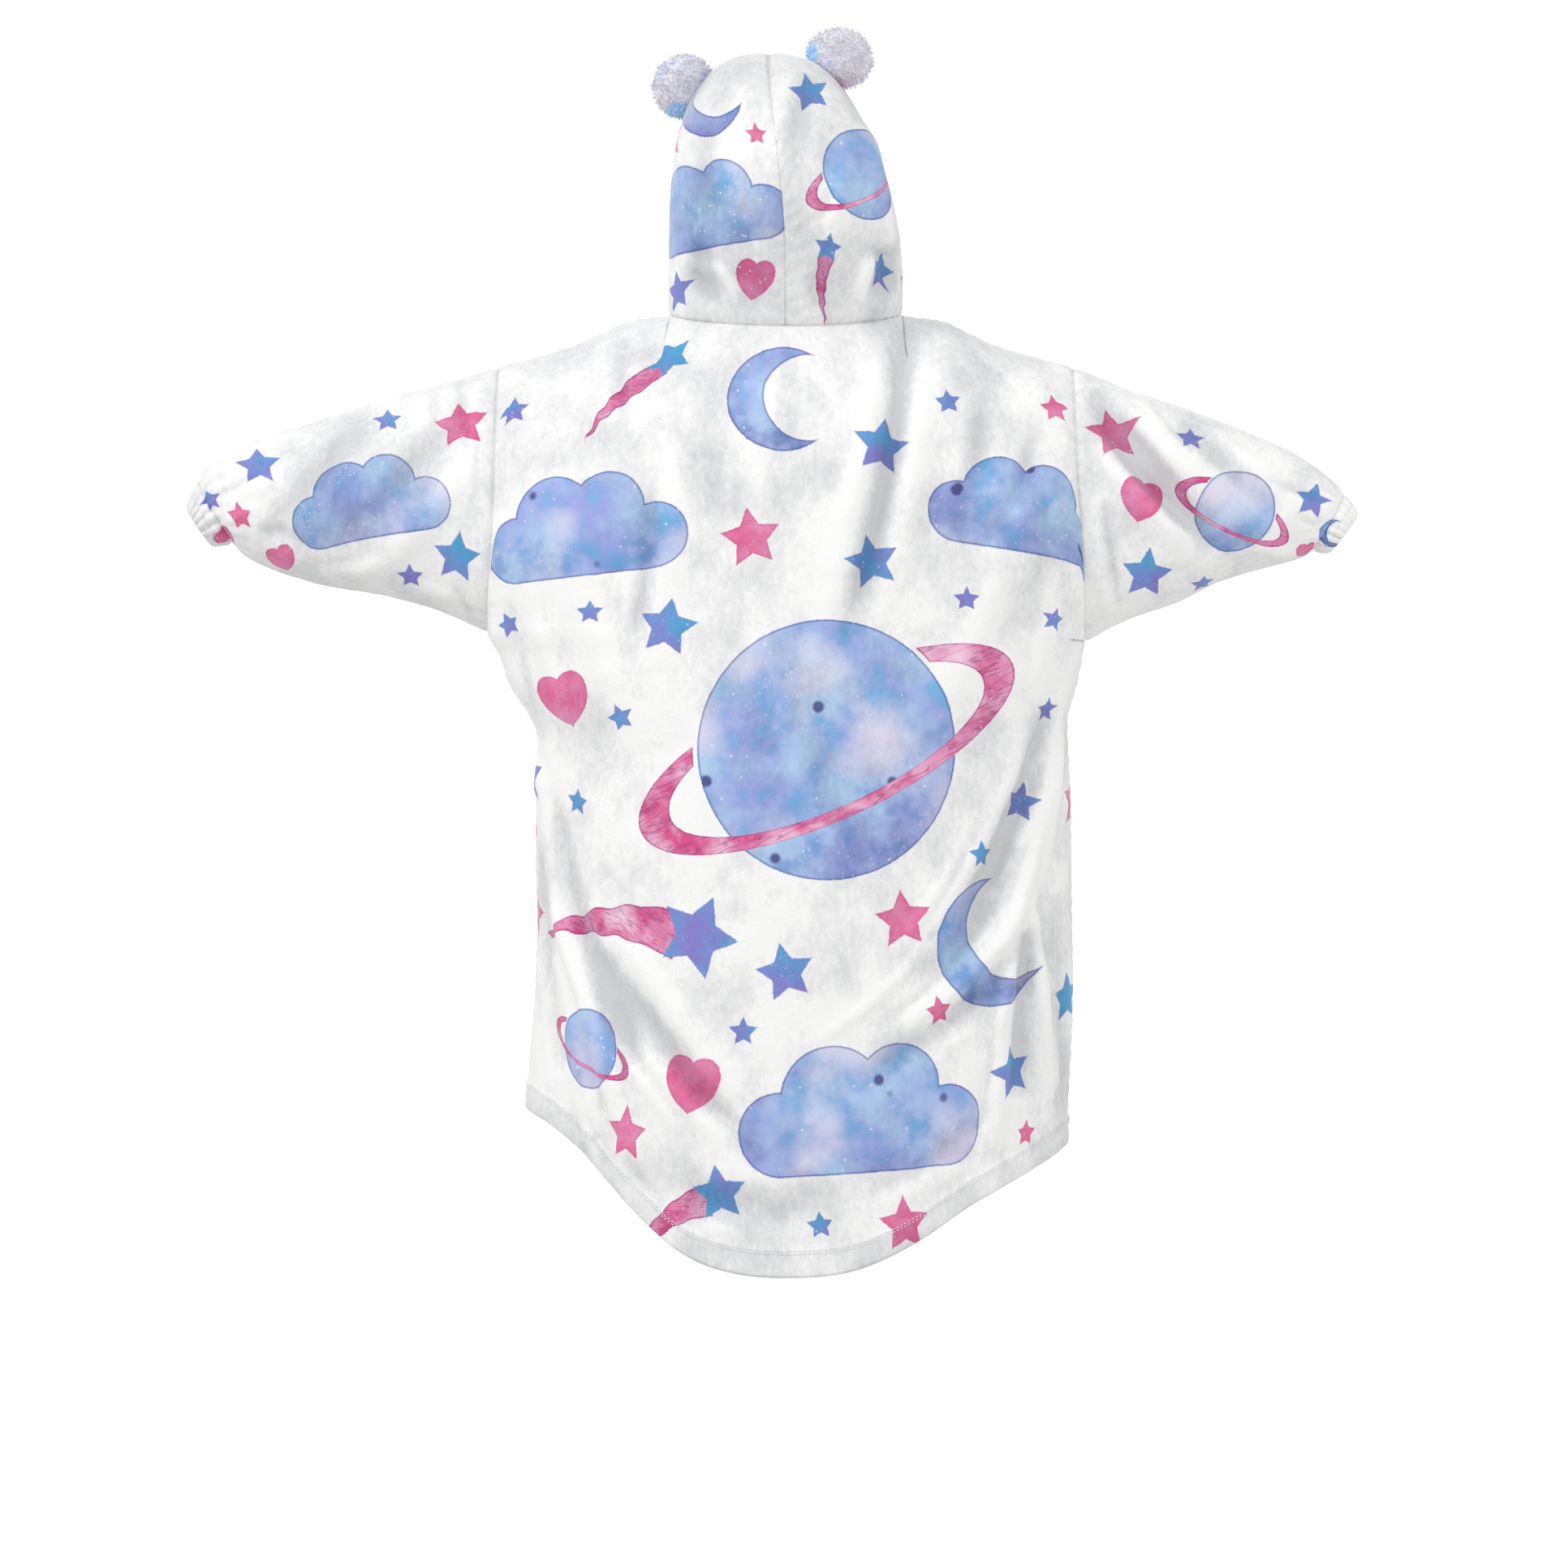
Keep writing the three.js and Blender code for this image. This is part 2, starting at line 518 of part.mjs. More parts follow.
// A closed wall on a grid, from a depth inside its points to a height outside them.
function wall(grid, normals, outside, inside) {
  const points = drawnBack(grid);
  const count = points[0].length;
  const rowsUp = points.length;
  const positions = [];
  for (const level of [outside, () => -inside]) {
    points.forEach((row, i) =>
      row.forEach((p, j) => {
        const q = p.clone().addScaledVector(normals[i][j], level(i));
        positions.push(q.x, q.y, q.z);
      }),
    );
  }
  const at = (i, j, inner) => (inner ? rowsUp * count : 0) + i * count + (j % count);
  const index = [];
  const place = (a) => new THREE.Vector3(...positions.slice(3 * a, 3 * a + 3));
  const span = (a, b) => place(a).distanceTo(place(b));
  const quad = (a, b, c, d) => {
    const corners = span(a, c) <= span(b, d) ? [a, b, c, a, c, d] : [b, c, d, b, d, a];
    index.push(...(grid.flip ? corners.reverse() : corners));
  };
  const spans = grid.wrap ? count : count - 1;
  for (let i = 0; i + 1 < rowsUp; i += 1) {
    for (let j = 0; j < spans; j += 1) {
      quad(at(i, j, false), at(i, j + 1, false), at(i + 1, j + 1, false), at(i + 1, j, false));
      quad(at(i, j, true), at(i + 1, j, true), at(i + 1, j + 1, true), at(i, j + 1, true));
    }
  }
  const bottom = rowsUp - 1;
  const end = count - 1;
  for (let j = 0; j < spans; j += 1) {
    quad(at(0, j, true), at(0, j + 1, true), at(0, j + 1, false), at(0, j, false));
    quad(at(bottom, j, false), at(bottom, j + 1, false), at(bottom, j + 1, true), at(bottom, j, true));
  }
  if (!grid.wrap) {
    for (let i = 0; i < bottom; i += 1) {
      quad(at(i, 0, false), at(i + 1, 0, false), at(i + 1, 0, true), at(i, 0, true));
      quad(at(i, end, true), at(i + 1, end, true), at(i + 1, end, false), at(i, end, false));
    }
  }
  const geometry = new THREE.BufferGeometry();
  geometry.setAttribute("position", new THREE.Float32BufferAttribute(positions, 3));
  geometry.setIndex(index);
  geometry.computeVertexNormals();
  return geometry;
}

function solidOf(geometry) {
  const bare = geometry.clone();
  bare.deleteAttribute("normal");
  bare.deleteAttribute("uv");
  const merged = mergeVertices(bare, 1e-3);
  const vertProperties = merged.attributes.position.array;
  const triVerts = new Uint32Array(merged.index.array);
  return new wasm.Manifold(new wasm.Mesh({ numProp: 3, vertProperties, triVerts }));
}

function geometryOf(solid) {
  const { vertProperties, triVerts } = solid.getMesh();
  const geometry = new THREE.BufferGeometry();
  geometry.setAttribute("position", new THREE.BufferAttribute(new Float32Array(vertProperties), 3));
  geometry.setIndex(new THREE.BufferAttribute(new Uint32Array(triVerts), 1));
  geometry.computeVertexNormals();
  return geometry;
}

// A stuffed ear: a flattened ball whose foot follows the hood that it is sewn on.
function ear(shape, hoodSpace) {
  const ball = new THREE.SphereGeometry(1, EAR_SEGMENTS, EAR_RINGS);
  ball.scale(shape.wide, shape.thick, shape.tall);
  ball.rotateY(radians(shape.turn));
  ball.translate(shape.x, shape.y, shape.z);
  const cut = solidOf(ball).subtract(hoodSpace);
  const pieces = cut.decompose().sort((a, b) => b.volume() - a.volume());
  return geometryOf(pieces[0]);
}

function piece(name, geometry, finish) {
  const mesh = new THREE.Mesh(geometry, new THREE.MeshStandardMaterial(finish));
  mesh.name = name;
  return mesh;
}

const back = bodyPanel(1, BACK_FOLDS);
const front = bodyPanel(-1, FRONT_FOLDS);

// The two panels share the points of their side and shoulder seams.
back.rows.forEach((row, i) => {
  row[0].y = 0;
  row[PANEL_COLUMNS].y = 0;
  if (i < ARMHOLE_ROWS && i > 0) {
    row[0].y = -front.rows[i][0].y;
    row[PANEL_COLUMNS].y = -front.rows[i][PANEL_COLUMNS].y;
  } else {
    front.rows[i][0].copy(row[0]);
    front.rows[i][PANEL_COLUMNS].copy(row[PANEL_COLUMNS]);
  }
});

const leftLoop = armholeLoop(back, front, PANEL_COLUMNS);
const rightLoop = armholeLoop(back, front, 0);
const sleeveLeft = sleeve(leftLoop, LEFT_SLEEVE, 1, LEFT_SLEEVE_FOLDS);
const sleeveRight = sleeve(rightLoop, RIGHT_SLEEVE, -1, RIGHT_SLEEVE_FOLDS);
const cuffLeft = cuff(leftLoop, sleeveLeft.rows[SLEEVE_ROWS], LEFT_SLEEVE, LEFT_CUFF_END, 1);
const cuffRight = cuff(rightLoop, sleeveRight.rows[SLEEVE_ROWS], RIGHT_SLEEVE, RIGHT_CUFF_END, -1);
const hoodLeft = hoodHalf(back, front, 1);
const hoodRight = hoodHalf(back, front, -1);

const cloth = {
  back_panel: back,
  front_panel: front,
  sleeve_left: sleeveLeft,
  sleeve_right: sleeveRight,
  cuff_left: cuffLeft,
  cuff_right: cuffRight,
  hood_left: hoodLeft,
  hood_right: hoodRight,
};
const names = Object.keys(cloth);
const grids = Object.values(cloth);
foldGrids(grids);
const normals = sewnNormals(grids);

const hoodie = new THREE.Group();
names.forEach((name, g) => {
  const hemStart = name.endsWith("panel") ? grids[g].rows.length - 2 : Infinity;
  const outside = (i) => CLOTH / 2 + (i >= hemStart ? HEM_RAISE : 0);
  hoodie.add(piece(name, wall(grids[g], normals[g], outside, CLOTH / 2), WHITE_FLEECE));
});

const hoodSpace = ["hood_left", "hood_right"]
  .map((name) => names.indexOf(name))
  .map((g) => solidOf(wall(grids[g], normals[g], () => CLOTH / 2 + SEAM_GAP, EAR_CUT_DEPTH)))
  .reduce((whole, half) => whole.add(half));
for (const shape of EARS) hoodie.add(piece(shape.name, ear(shape, hoodSpace), EAR_PLUSH));

export default hoodie;
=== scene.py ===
"""Dresses a child's hooded blanket top: fleece shell, folds, print, cuffs, plush ears and stitches."""

import logging
import math
from dataclasses import dataclass, field
from enum import Enum

import bpy
import numpy as np
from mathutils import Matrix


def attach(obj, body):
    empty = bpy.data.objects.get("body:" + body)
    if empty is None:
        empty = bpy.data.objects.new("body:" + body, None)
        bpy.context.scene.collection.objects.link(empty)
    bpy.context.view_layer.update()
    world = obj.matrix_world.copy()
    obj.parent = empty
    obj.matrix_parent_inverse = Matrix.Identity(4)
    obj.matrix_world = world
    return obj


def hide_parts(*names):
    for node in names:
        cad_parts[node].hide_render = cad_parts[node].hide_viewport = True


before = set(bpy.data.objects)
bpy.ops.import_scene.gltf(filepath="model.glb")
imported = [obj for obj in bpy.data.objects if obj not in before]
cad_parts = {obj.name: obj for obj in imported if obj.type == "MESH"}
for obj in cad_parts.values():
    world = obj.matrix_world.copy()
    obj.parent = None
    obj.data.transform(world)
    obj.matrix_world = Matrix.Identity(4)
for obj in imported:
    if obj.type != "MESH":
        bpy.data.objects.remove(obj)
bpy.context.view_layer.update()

log = logging.getLogger("hooded_top")

MM = 0.001
BODY = "root"
FOLD_STEPS = 24


class Side(Enum):
    """The two body panels, by the way that they face along Y."""

    BACK = 1
    FRONT = -1


class Hand(Enum):
    """The wearer's two sides, by their direction along X."""

    LEFT = 1
    RIGHT = -1


class Shape(Enum):
    """The kinds of motif that are printed on the cloth."""

    NONE = 0
    STAR = 1
    HEART = 2
    MOON = 3
    CLOUD = 4
    COMET = 5
    PLANET = 6


# Half the width and height of the area that a motif fills, and how square its corners are
REACH = {
    Shape.STAR: (1.06, 1.06, 2),
    Shape.HEART: (1.12, 1.14, 2.6),
    Shape.MOON: (1.09, 1.09, 2),
    Shape.CLOUD: (1.04, 0.62, 3),
    Shape.COMET: (1.12, 0.74, 4),
    Shape.PLANET: (1.04, 0.68, 2),
}


def lerp(a, b, t):
    """Goes from a to b by the share t."""
    return a + (b - a) * t


def smooth(t: np.ndarray) -> np.ndarray:
    """Eases a share from 0 to 1, and holds it there outside."""
    c = np.clip(t, 0.0, 1.0)
    return c * c * (3.0 - 2.0 * c)


def unit(vectors: np.ndarray) -> np.ndarray:
    """Scales vectors to the length 1."""
    return vectors / np.maximum(np.linalg.norm(vectors, axis=-1, keepdims=True), 1e-9)


def cell_corners(grid: np.ndarray) -> tuple:
    """Gives the four corners of every cell of a grid, as one array for each corner."""
    return grid[:-1, :-1], grid[:-1, 1:], grid[1:, 1:], grid[1:, :-1]


def distances(points: np.ndarray, axis: int) -> np.ndarray:
    """Sums the steps from point to point, down the rows for axis 0 and across them for axis 1."""
    steps = np.cumsum(np.linalg.norm(np.diff(points, axis=axis), axis=2), axis=axis)
    return np.concatenate([np.zeros_like(steps.take([0], axis)), steps], axis=axis)


def add_object(name: str, data: bpy.types.ID) -> bpy.types.Object:
    """Adds a mesh, light or camera to the scene."""
    made = bpy.data.objects.new(name, data)
    bpy.context.scene.collection.objects.link(made)
    return made


@dataclass(frozen=True)
class Table:
    """Rows of sizes in millimetres with named columns, read on a cubic through them.

    Args:
        columns: The names of the columns. Rows are looked up by the first one.
        rows: The rows, in rising or falling order of the first column.
    """

    columns: tuple
    rows: tuple

    def read(self, column: str, at: np.ndarray) -> np.ndarray:
        """Reads one column at the given places.

        Args:
            column: The name of the column.
            at: The places along the first column.

        Returns:
            One value for each place.
        """
        data = np.array(self.rows, float)
        if data[-1, 0] < data[0, 0]:
            data = data[::-1]
        place = data[:, 0]
        value = data[:, self.columns.index(column)]
        index = np.arange(len(place))
        low = np.maximum(index - 1, 0)
        high = np.minimum(index + 1, len(place) - 1)
        slope = (value[high] - value[low]) / (place[high] - place[low])
        k = np.clip(np.searchsorted(place, at, side="left") - 1, 0, len(place) - 2)
        span = place[k + 1] - place[k]
        t = np.clip((at - place[k]) / span, 0.0, 1.0)
        t2, t3 = t * t, t * t * t
        start = (2 * t3 - 3 * t2 + 1) * value[k] + (t3 - 2 * t2 + t) * span * slope[k]
        return start + (3 * t2 - 2 * t3) * value[k + 1] + (t3 - t2) * span * slope[k + 1]


SHOULDER = Table(("x", "z"), ((95, 6), (131, 1), (150, -8), (172, -18), (205, -28), (238, -37)))
# Reach along Y and height of the middle of the neckline
NECK_EDGES = {Side.BACK: (72.0, -7.0), Side.FRONT: (-82.0, -48.0)}
TRUNK = Table(
    ("z", "left", "right", "back", "front"),
    (
        (20, 236, 235, 92, 84),
        (-40, 238, 237, 96, 88),
        (-100, 239, 239, 106, 99),
        (-180, 241, 243, 113, 108),
        (-255, 246, 247, 116, 114),
        (-275, 236, 245, 117, 116),
        (-300, 227, 240, 118, 118),
        (-325, 211, 233, 119, 120),
        (-345, 204, 233, 119, 121),
        (-400, 205, 235, 120, 122),
        (-480, 204, 236, 122, 124),
        (-560, 207, 237, 125, 126),
        (-650, 213, 233, 128, 128),
        (-800, 207, 226, 130, 130),
    ),
)
HEM = Table(
    ("x", "back", "front"),
    (
        (-236, -674, -674),
        (-215, -688, -684),
        (-190, -702, -694),
        (-150, -724, -710),
        (-105, -753, -731),
        (-55, -774, -747),
        (0, -779, -752),
        (45, -775, -748),
        (82, -762, -737),
        (115, -736, -716),
        (142, -706, -694),
        (165, -680, -674),
        (190, -660, -658),
        (213, -648, -648),
    ),
)
RING_COLUMNS = ("s", "up_x", "up_z", "low_x", "low_z", "depth")
SLEEVES = {
    Hand.LEFT: Table(
        RING_COLUMNS,
        (
            (0, 238, -37, 246, -255, 62),
            (0.2, 290, -52, 283, -238, 60),
            (0.4, 343, -67, 330, -225, 56),
            (0.6, 394, -83, 380, -216, 50),
            (0.8, 444, -99, 423, -203, 42),
            (0.93, 475, -114, 447, -191, 34),
            (1, 488, -131, 459, -179, 28),
        ),
    ),
    Hand.RIGHT: Table(
        RING_COLUMNS,
        (
            (0, 238, -37, 247, -263, 62),
            (0.2, 284, -55, 283, -244, 60),
            (0.4, 331, -71, 324, -230, 56),
            (0.6, 380, -90, 363, -211, 50),
            (0.8, 426, -111, 405, -199, 42),
            (0.93, 452, -129, 428, -192, 34),
            (1, 463, -142, 438, -186, 28),
        ),
    ),
}
# The ring at the end of each cuff, with the columns of a sleeve's ring after the first
CUFF_ENDS = {Hand.LEFT: (496, -153, 477, -182, 23), Hand.RIGHT: (474, -158, 453, -187, 23)}
HOOD = Table(
    ("share", "top_y", "top_z", "out_x", "out_y", "climb"),
    (
        (0, 97, 150, 0, 24, 0),
        (0.25, 64, 197, 18, 18, 0.8),
        (0.5, 12, 222, 4, 2, 1),
        (0.75, -43, 222, 22, -4, 1),
        (1, -96, 202, 75, -8, 1),
    ),
)


@dataclass(frozen=True)
class Fold:
    """One soft crease of the cloth, drawn in the front or back view.

    Args:
        x0, z0, x1, z1, x2, z2: Three points that its line passes through.
        width: Half its width.
        rise: Its height out of the cloth, below zero for a trough.
    """

    x0: float
    z0: float
    x1: float
    z1: float
    x2: float
    z2: float
    width: float
    rise: float

    def lift(self, x: np.ndarray, z: np.ndarray) -> np.ndarray:
        """Works out how far the fold lifts the cloth at each point of the view.

        Args:
            x: The points' places across the view.
            z: Their heights.

        Returns:
            The lift at each point, in millimetres.
        """
        near = np.full(x.shape, 1e9)
        place = np.zeros(x.shape)
        t = np.linspace(0.0, 1.0, FOLD_STEPS + 1)
        bend_x = 2 * self.x1 - (self.x0 + self.x2) / 2
        bend_z = 2 * self.z1 - (self.z0 + self.z2) / 2
        px = (1 - t) ** 2 * self.x0 + 2 * t * (1 - t) * bend_x + t**2 * self.x2
        pz = (1 - t) ** 2 * self.z0 + 2 * t * (1 - t) * bend_z + t**2 * self.z2
        for k in range(FOLD_STEPS):
            dx, dz = px[k + 1] - px[k], pz[k + 1] - pz[k]
            along = np.clip(((x - px[k]) * dx + (z - pz[k]) * dz) / (dx * dx + dz * dz), 0.0, 1.0)
            away = np.hypot(x - px[k] - along * dx, z - pz[k] - along * dz)
            closer = away < near
            near = np.where(closer, away, near)
            place = np.where(closer, (k + along) / FOLD_STEPS, place)
        across = np.where(near < self.width, 0.5 + 0.5 * np.cos(np.pi * near / self.width), 0.0)
        return self.rise * across * np.sqrt(np.sin(np.pi * np.clip(place, 0.0, 1.0)))


BACK_FOLDS = [
    Fold(204, -364, 177, -505, 128, -668, 12, 6.5),
    Fold(197, -385, 164, -505, 118, -610, 20, -8),
    Fold(206, -430, 196, -530, 184, -620, 16, -5),
    Fold(188, -520, 168, -606, 152, -668, 11, 4),
    Fold(146, -515, 95, -596, 14, -692, 20, -6),
    Fold(168, -480, 110, -545, 40, -640, 22, 3.5),
    Fold(118, -590, 88, -630, 48, -672, 14, 3),
    Fold(-224, -300, -211, -410, -176, -520, 10, 6.5),
    Fold(-217, -316, -186, -406, -136, -500, 22, -10),
    Fold(-198, -335, -171, -412, -120, -500, 11, 5),
    Fold(-186, -430, -158, -490, -104, -540, 18, -7),
    Fold(-194, -474, -160, -530, -98, -580, 11, 4.5),
    Fold(-180, -520, -140, -566, -60, -620, 20, -5),
    Fold(-202, -484, -209, -548, -219, -640, 9, 5),
    Fold(-198, -500, -194, -566, -188, -640, 17, -8),
    Fold(-186, -520, -178, -590, -172, -680, 12, 3.5),
    Fold(-222, -470, -224, -560, -228, -650, 12, -5),
    Fold(-97, -4, -82, -120, -46, -274, 20, -7.5),
    Fold(-74, -20, -60, -130, -22, -290, 22, 3.5),
    Fold(-114, -30, -104, -130, -78, -250, 18, 3),
    Fold(138, -6, 134, -50, 126, -110, 16, -4.5),
    Fold(108, -140, 111, -206, 120, -262, 14, -4.5),
    Fold(94, -90, 92, -190, 98, -290, 18, 3),
    Fold(190, -120, 165, -240, 110, -350, 26, 4),
    Fold(-165, -60, -158, -106, -140, -180, 18, -4.5),
    Fold(-190, -150, -160, -250, -110, -340, 26, 3.5),
    Fold(110, -690, 20, -722, -100, -690, 26, -4),
]
BACK_CREASES = [
    Fold(-219, -330, -196, -420, -150, -500, 7, 2),
    Fold(-178, -470, -130, -534, -76, -576, 7, -2.5),
    Fold(-170, -440, -140, -484, -112, -512, 7, -2.5),
    Fold(-211, -398, -207, -470, -214, -530, 7, -2.5),
    Fold(-170, -600, -160, -640, -150, -690, 8, -2.5),
    Fold(-223, -510, -222, -585, -224, -650, 6, 2.5),
    Fold(190, -450, 172, -536, 146, -632, 7, -2.5),
    Fold(184, -545, 176, -590, 166, -640, 7, -2.5),
    Fold(206, -450, 204, -500, 200, -560, 7, 2.5),
    Fold(140, -560, 130, -585, 112, -620, 10, -3.5),
    Fold(84, -618, 70, -634, 56, -650, 9, -3),
    Fold(60, -628, 48, -648, 30, -662, 9, -2.5),
    Fold(-102, -14, -92, -110, -58, -236, 9, -3),
    Fold(-86, -30, -74, -120, -44, -246, 8, 2),
    Fold(128, -26, 126, -60, 118, -100, 10, 2.5),
    Fold(116, -160, 116, -220, 124, -270, 9, -2.5),
    Fold(2, -30, -4, -70, 2, -120, 16, -3),
    Fold(30, -40, 22, -120, 26, -200, 18, 2.5),
    Fold(215, -190, 205, -250, 176, -330, 12, 3),
    Fold(228, -230, 214, -290, 196, -350, 9, -3.5),
    Fold(-222, -200, -212, -262, -206, -330, 12, 3),
    Fold(-206, -90, -190, -140, -160, -190, 12, -3),
    Fold(62, -40, 56, -100, 60, -170, 16, -2.5),
    Fold(-20, -300, -30, -380, -70, -450, 20, -3),
    Fold(60, -330, 74, -420, 60, -510, 22, 2.5),
    Fold(-170, -640, -120, -686, -70, -712, 12, -3),
    Fold(130, -680, 120, -700, 96, -724, 9, -3),
    Fold(24, -560, 6, -640, 14, -730, 20, 2.5),
    Fold(206, -345, 196, -400, 190, -480, 6, 2.5),
    Fold(190, -480, 170, -540, 136, -660, 6, 3),
    Fold(182, -560, 168, -640, 150, -690, 6, 2),
    Fold(204, -500, 198, -560, 192, -640, 6, 2),
    Fold(198, -420, 178, -500, 148, -604, 7, -2.5),
    Fold(150, -560, 118, -620, 84, -664, 7, 2),
    Fold(-225, -318, -200, -380, -167, -437, 6, 3),
    Fold(-167, -437, -148, -474, -122, -510, 6, 2.5),
    Fold(-225, -338, -214, -430, -192, -503, 6, 3),
    Fold(-192, -503, -182, -545, -170, -588, 6, 2.5),
    Fold(-204, -487, -208, -560, -219, -640, 6, 2.5),
    Fold(-150, -410, -122, -470, -84, -522, 7, 2),
    Fold(-190, -596, -187, -640, -182, -694, 7, 2),
    Fold(-108, -516, -72, -556, -22, -590, 8, 2),
    Fold(-216, -560, -218, -610, -226, -670, 6, -2),
]
FRONT_FOLDS = [
    Fold(205, -300, 175, -420, 120, -560, 26, -8),
    Fold(212, -360, 190, -500, 150, -690, 26, 6),
    Fold(-215, -310, -180, -430, -112, -580, 26, -8),
    Fold(-218, -380, -196, -520, -160, -720, 26, 6),
    Fold(70, -60, 62, -190, 84, -340, 30, -5),
    Fold(-60, -70, -66, -210, -90, -350, 30, -5),
    Fold(6, -110, 0, -250, 12, -390, 34, 4),
    Fold(128, -520, 20, -590, -96, -540, 26, -4),
    Fold(120, -610, 0, -668, -110, -620, 26, -3),
    Fold(60, -560, 52, -660, 60, -780, 28, 5),
    Fold(-70, -570, -62, -670, -74, -780, 28, 5),
]
FRONT_CREASES = [
    Fold(214, -270, 192, -360, 150, -470, 11, -3.5),
    Fold(206, -330, 178, -440, 138, -540, 10, 3),
    Fold(-216, -280, -190, -370, -144, -480, 11, -3.5),
    Fold(-204, -350, -172, -450, -120, -560, 10, 3),
    Fold(196, -500, 180, -590, 168, -680, 10, -3),
    Fold(-200, -500, -186, -600, -170, -690, 10, -3),
    Fold(74, -64, 70, -150, 76, -260, 12, -2.5),
    Fold(-66, -70, -70, -160, -82, -280, 12, -2.5),
    Fold(120, -90, 132, -170, 150, -260, 14, 2.5),
    Fold(-128, -96, -140, -180, -152, -260, 14, 2.5),
    Fold(64, -580, 58, -660, 62, -730, 12, 2.5),
    Fold(30, -570, 20, -650, 26, -730, 13, -2.5),
    Fold(-96, -590, -92, -660, -100, -720, 12, -2.5),
    Fold(96, -538, 10, -594, -80, -548, 12, -2),
    Fold(30, -200, 18, -290, 40, -380, 20, -2),
]
SLEEVE_FOLDS = {
    Hand.LEFT: [
        Fold(262, -60, 312, -130, 372, -190, 20, -5),
        Fold(254, -110, 300, -170, 350, -215, 18, 4),
        Fold(340, -80, 385, -130, 430, -180, 18, -4),
        Fold(270, -40, 262, -90, 250, -140, 9, -3),
        Fold(292, -56, 286, -86, 278, -110, 9, -2.5),
        Fold(258, -60, 256, -110, 262, -160, 8, 2.5),
        Fold(274, -222, 258, -238, 246, -254, 9, -4),
        Fold(300, -216, 276, -226, 254, -232, 8, 2.5),
        Fold(362, -90, 370, -108, 372, -128, 10, -2.5),
        Fold(392, -188, 412, -176, 436, -176, 11, -3),
        Fold(404, -112, 424, -132, 446, -142, 9, 2.5),
        Fold(440, -128, 458, -140, 474, -146, 6, -2.5),
        Fold(436, -152, 452, -162, 466, -164, 6, 2.5),
        Fold(330, -196, 350, -204, 384, -206, 10, 2.5),
    ],
    Hand.RIGHT: [
        Fold(-250, -58, -292, -118, -352, -190, 22, -11),
        Fold(-256, -100, -300, -155, -350, -208, 18, 4),
        Fold(-285, -62, -322, -110, -362, -150, 18, 5),
        Fold(-330, -78, -365, -120, -410, -160, 16, -4),
        Fold(-262, -94, -296, -133, -334, -173, 10, -4),
        Fold(-278, -70, -310, -108, -338, -134, 8, 3),
        Fold(-300, -66, -318, -92, -336, -112, 8, -2.5),
        Fold(-254, -110, -288, -148, -332, -184, 8, 3),
        Fold(-252, -140, -256, -190, -262, -240, 7, 3),
        Fold(-262, -150, -268, -196, -274, -236, 7, -2.5),
        Fold(-396, -130, -424, -142, -446, -150, 8, -3),
        Fold(-388, -184, -410, -190, -430, -182, 8, 3.5),
        Fold(-420, -162, -436, -168, -446, -170, 6, -2.5),
        Fold(-356, -96, -380, -116, -406, -128, 9, 2),
    ],
}
HOOD_FOLDS = [
    Fold(66, 58, 70, 36, 52, 14, 17, -9),
    Fold(-84, 56, -82, 36, -74, 16, 16, -9),
    Fold(-22, 200, -12, 160, -6, 110, 18, -5),
    Fold(34, 190, 40, 140, 36, 90, 20, 4),
    Fold(-50, 150, -46, 105, -30, 60, 20, 4),
    Fold(84, 70, 80, 48, 60, 34, 10, 4),
    Fold(62, 44, 46, 30, 40, 10, 7, 3.5),
    Fold(78, 40, 68, 24, 50, 8, 7, -4),
    Fold(-96, 62, -80, 54, -66, 60, 9, -4),
    Fold(-70, 50, -64, 34, -60, 14, 8, 4),
    Fold(-88, 40, -88, 30, -86, 16, 7, -4),
    Fold(-30, 110, -24, 96, -18, 80, 8, 2.5),
    Fold(-38, 100, -34, 88, -28, 76, 6, -2),
    Fold(24, 40, 18, 26, 20, 8, 8, -3),
    Fold(-24, 36, -20, 22, -24, 6, 8, -3),
    Fold(60, 160, 66, 120, 62, 80, 14, -2.5),
    Fold(-64, 160, -70, 130, -66, 90, 12, 2.5),
]


@dataclass(frozen=True)
class Motif:
    """One printed motif on the flat cloth.

    Args:
        shape: What it is.
        x, y: Its middle on the cloth, in millimetres, y up and x to the right as seen from outside.
        size: Half its width.
        turn: How far it is turned anticlockwise, in degrees.
        tone: Its colour, from 0 for blue to 1 for pink.
    """

    shape: Shape
    x: float
    y: float
    size: float
    turn: float = 0.0
    tone: float = 0.0


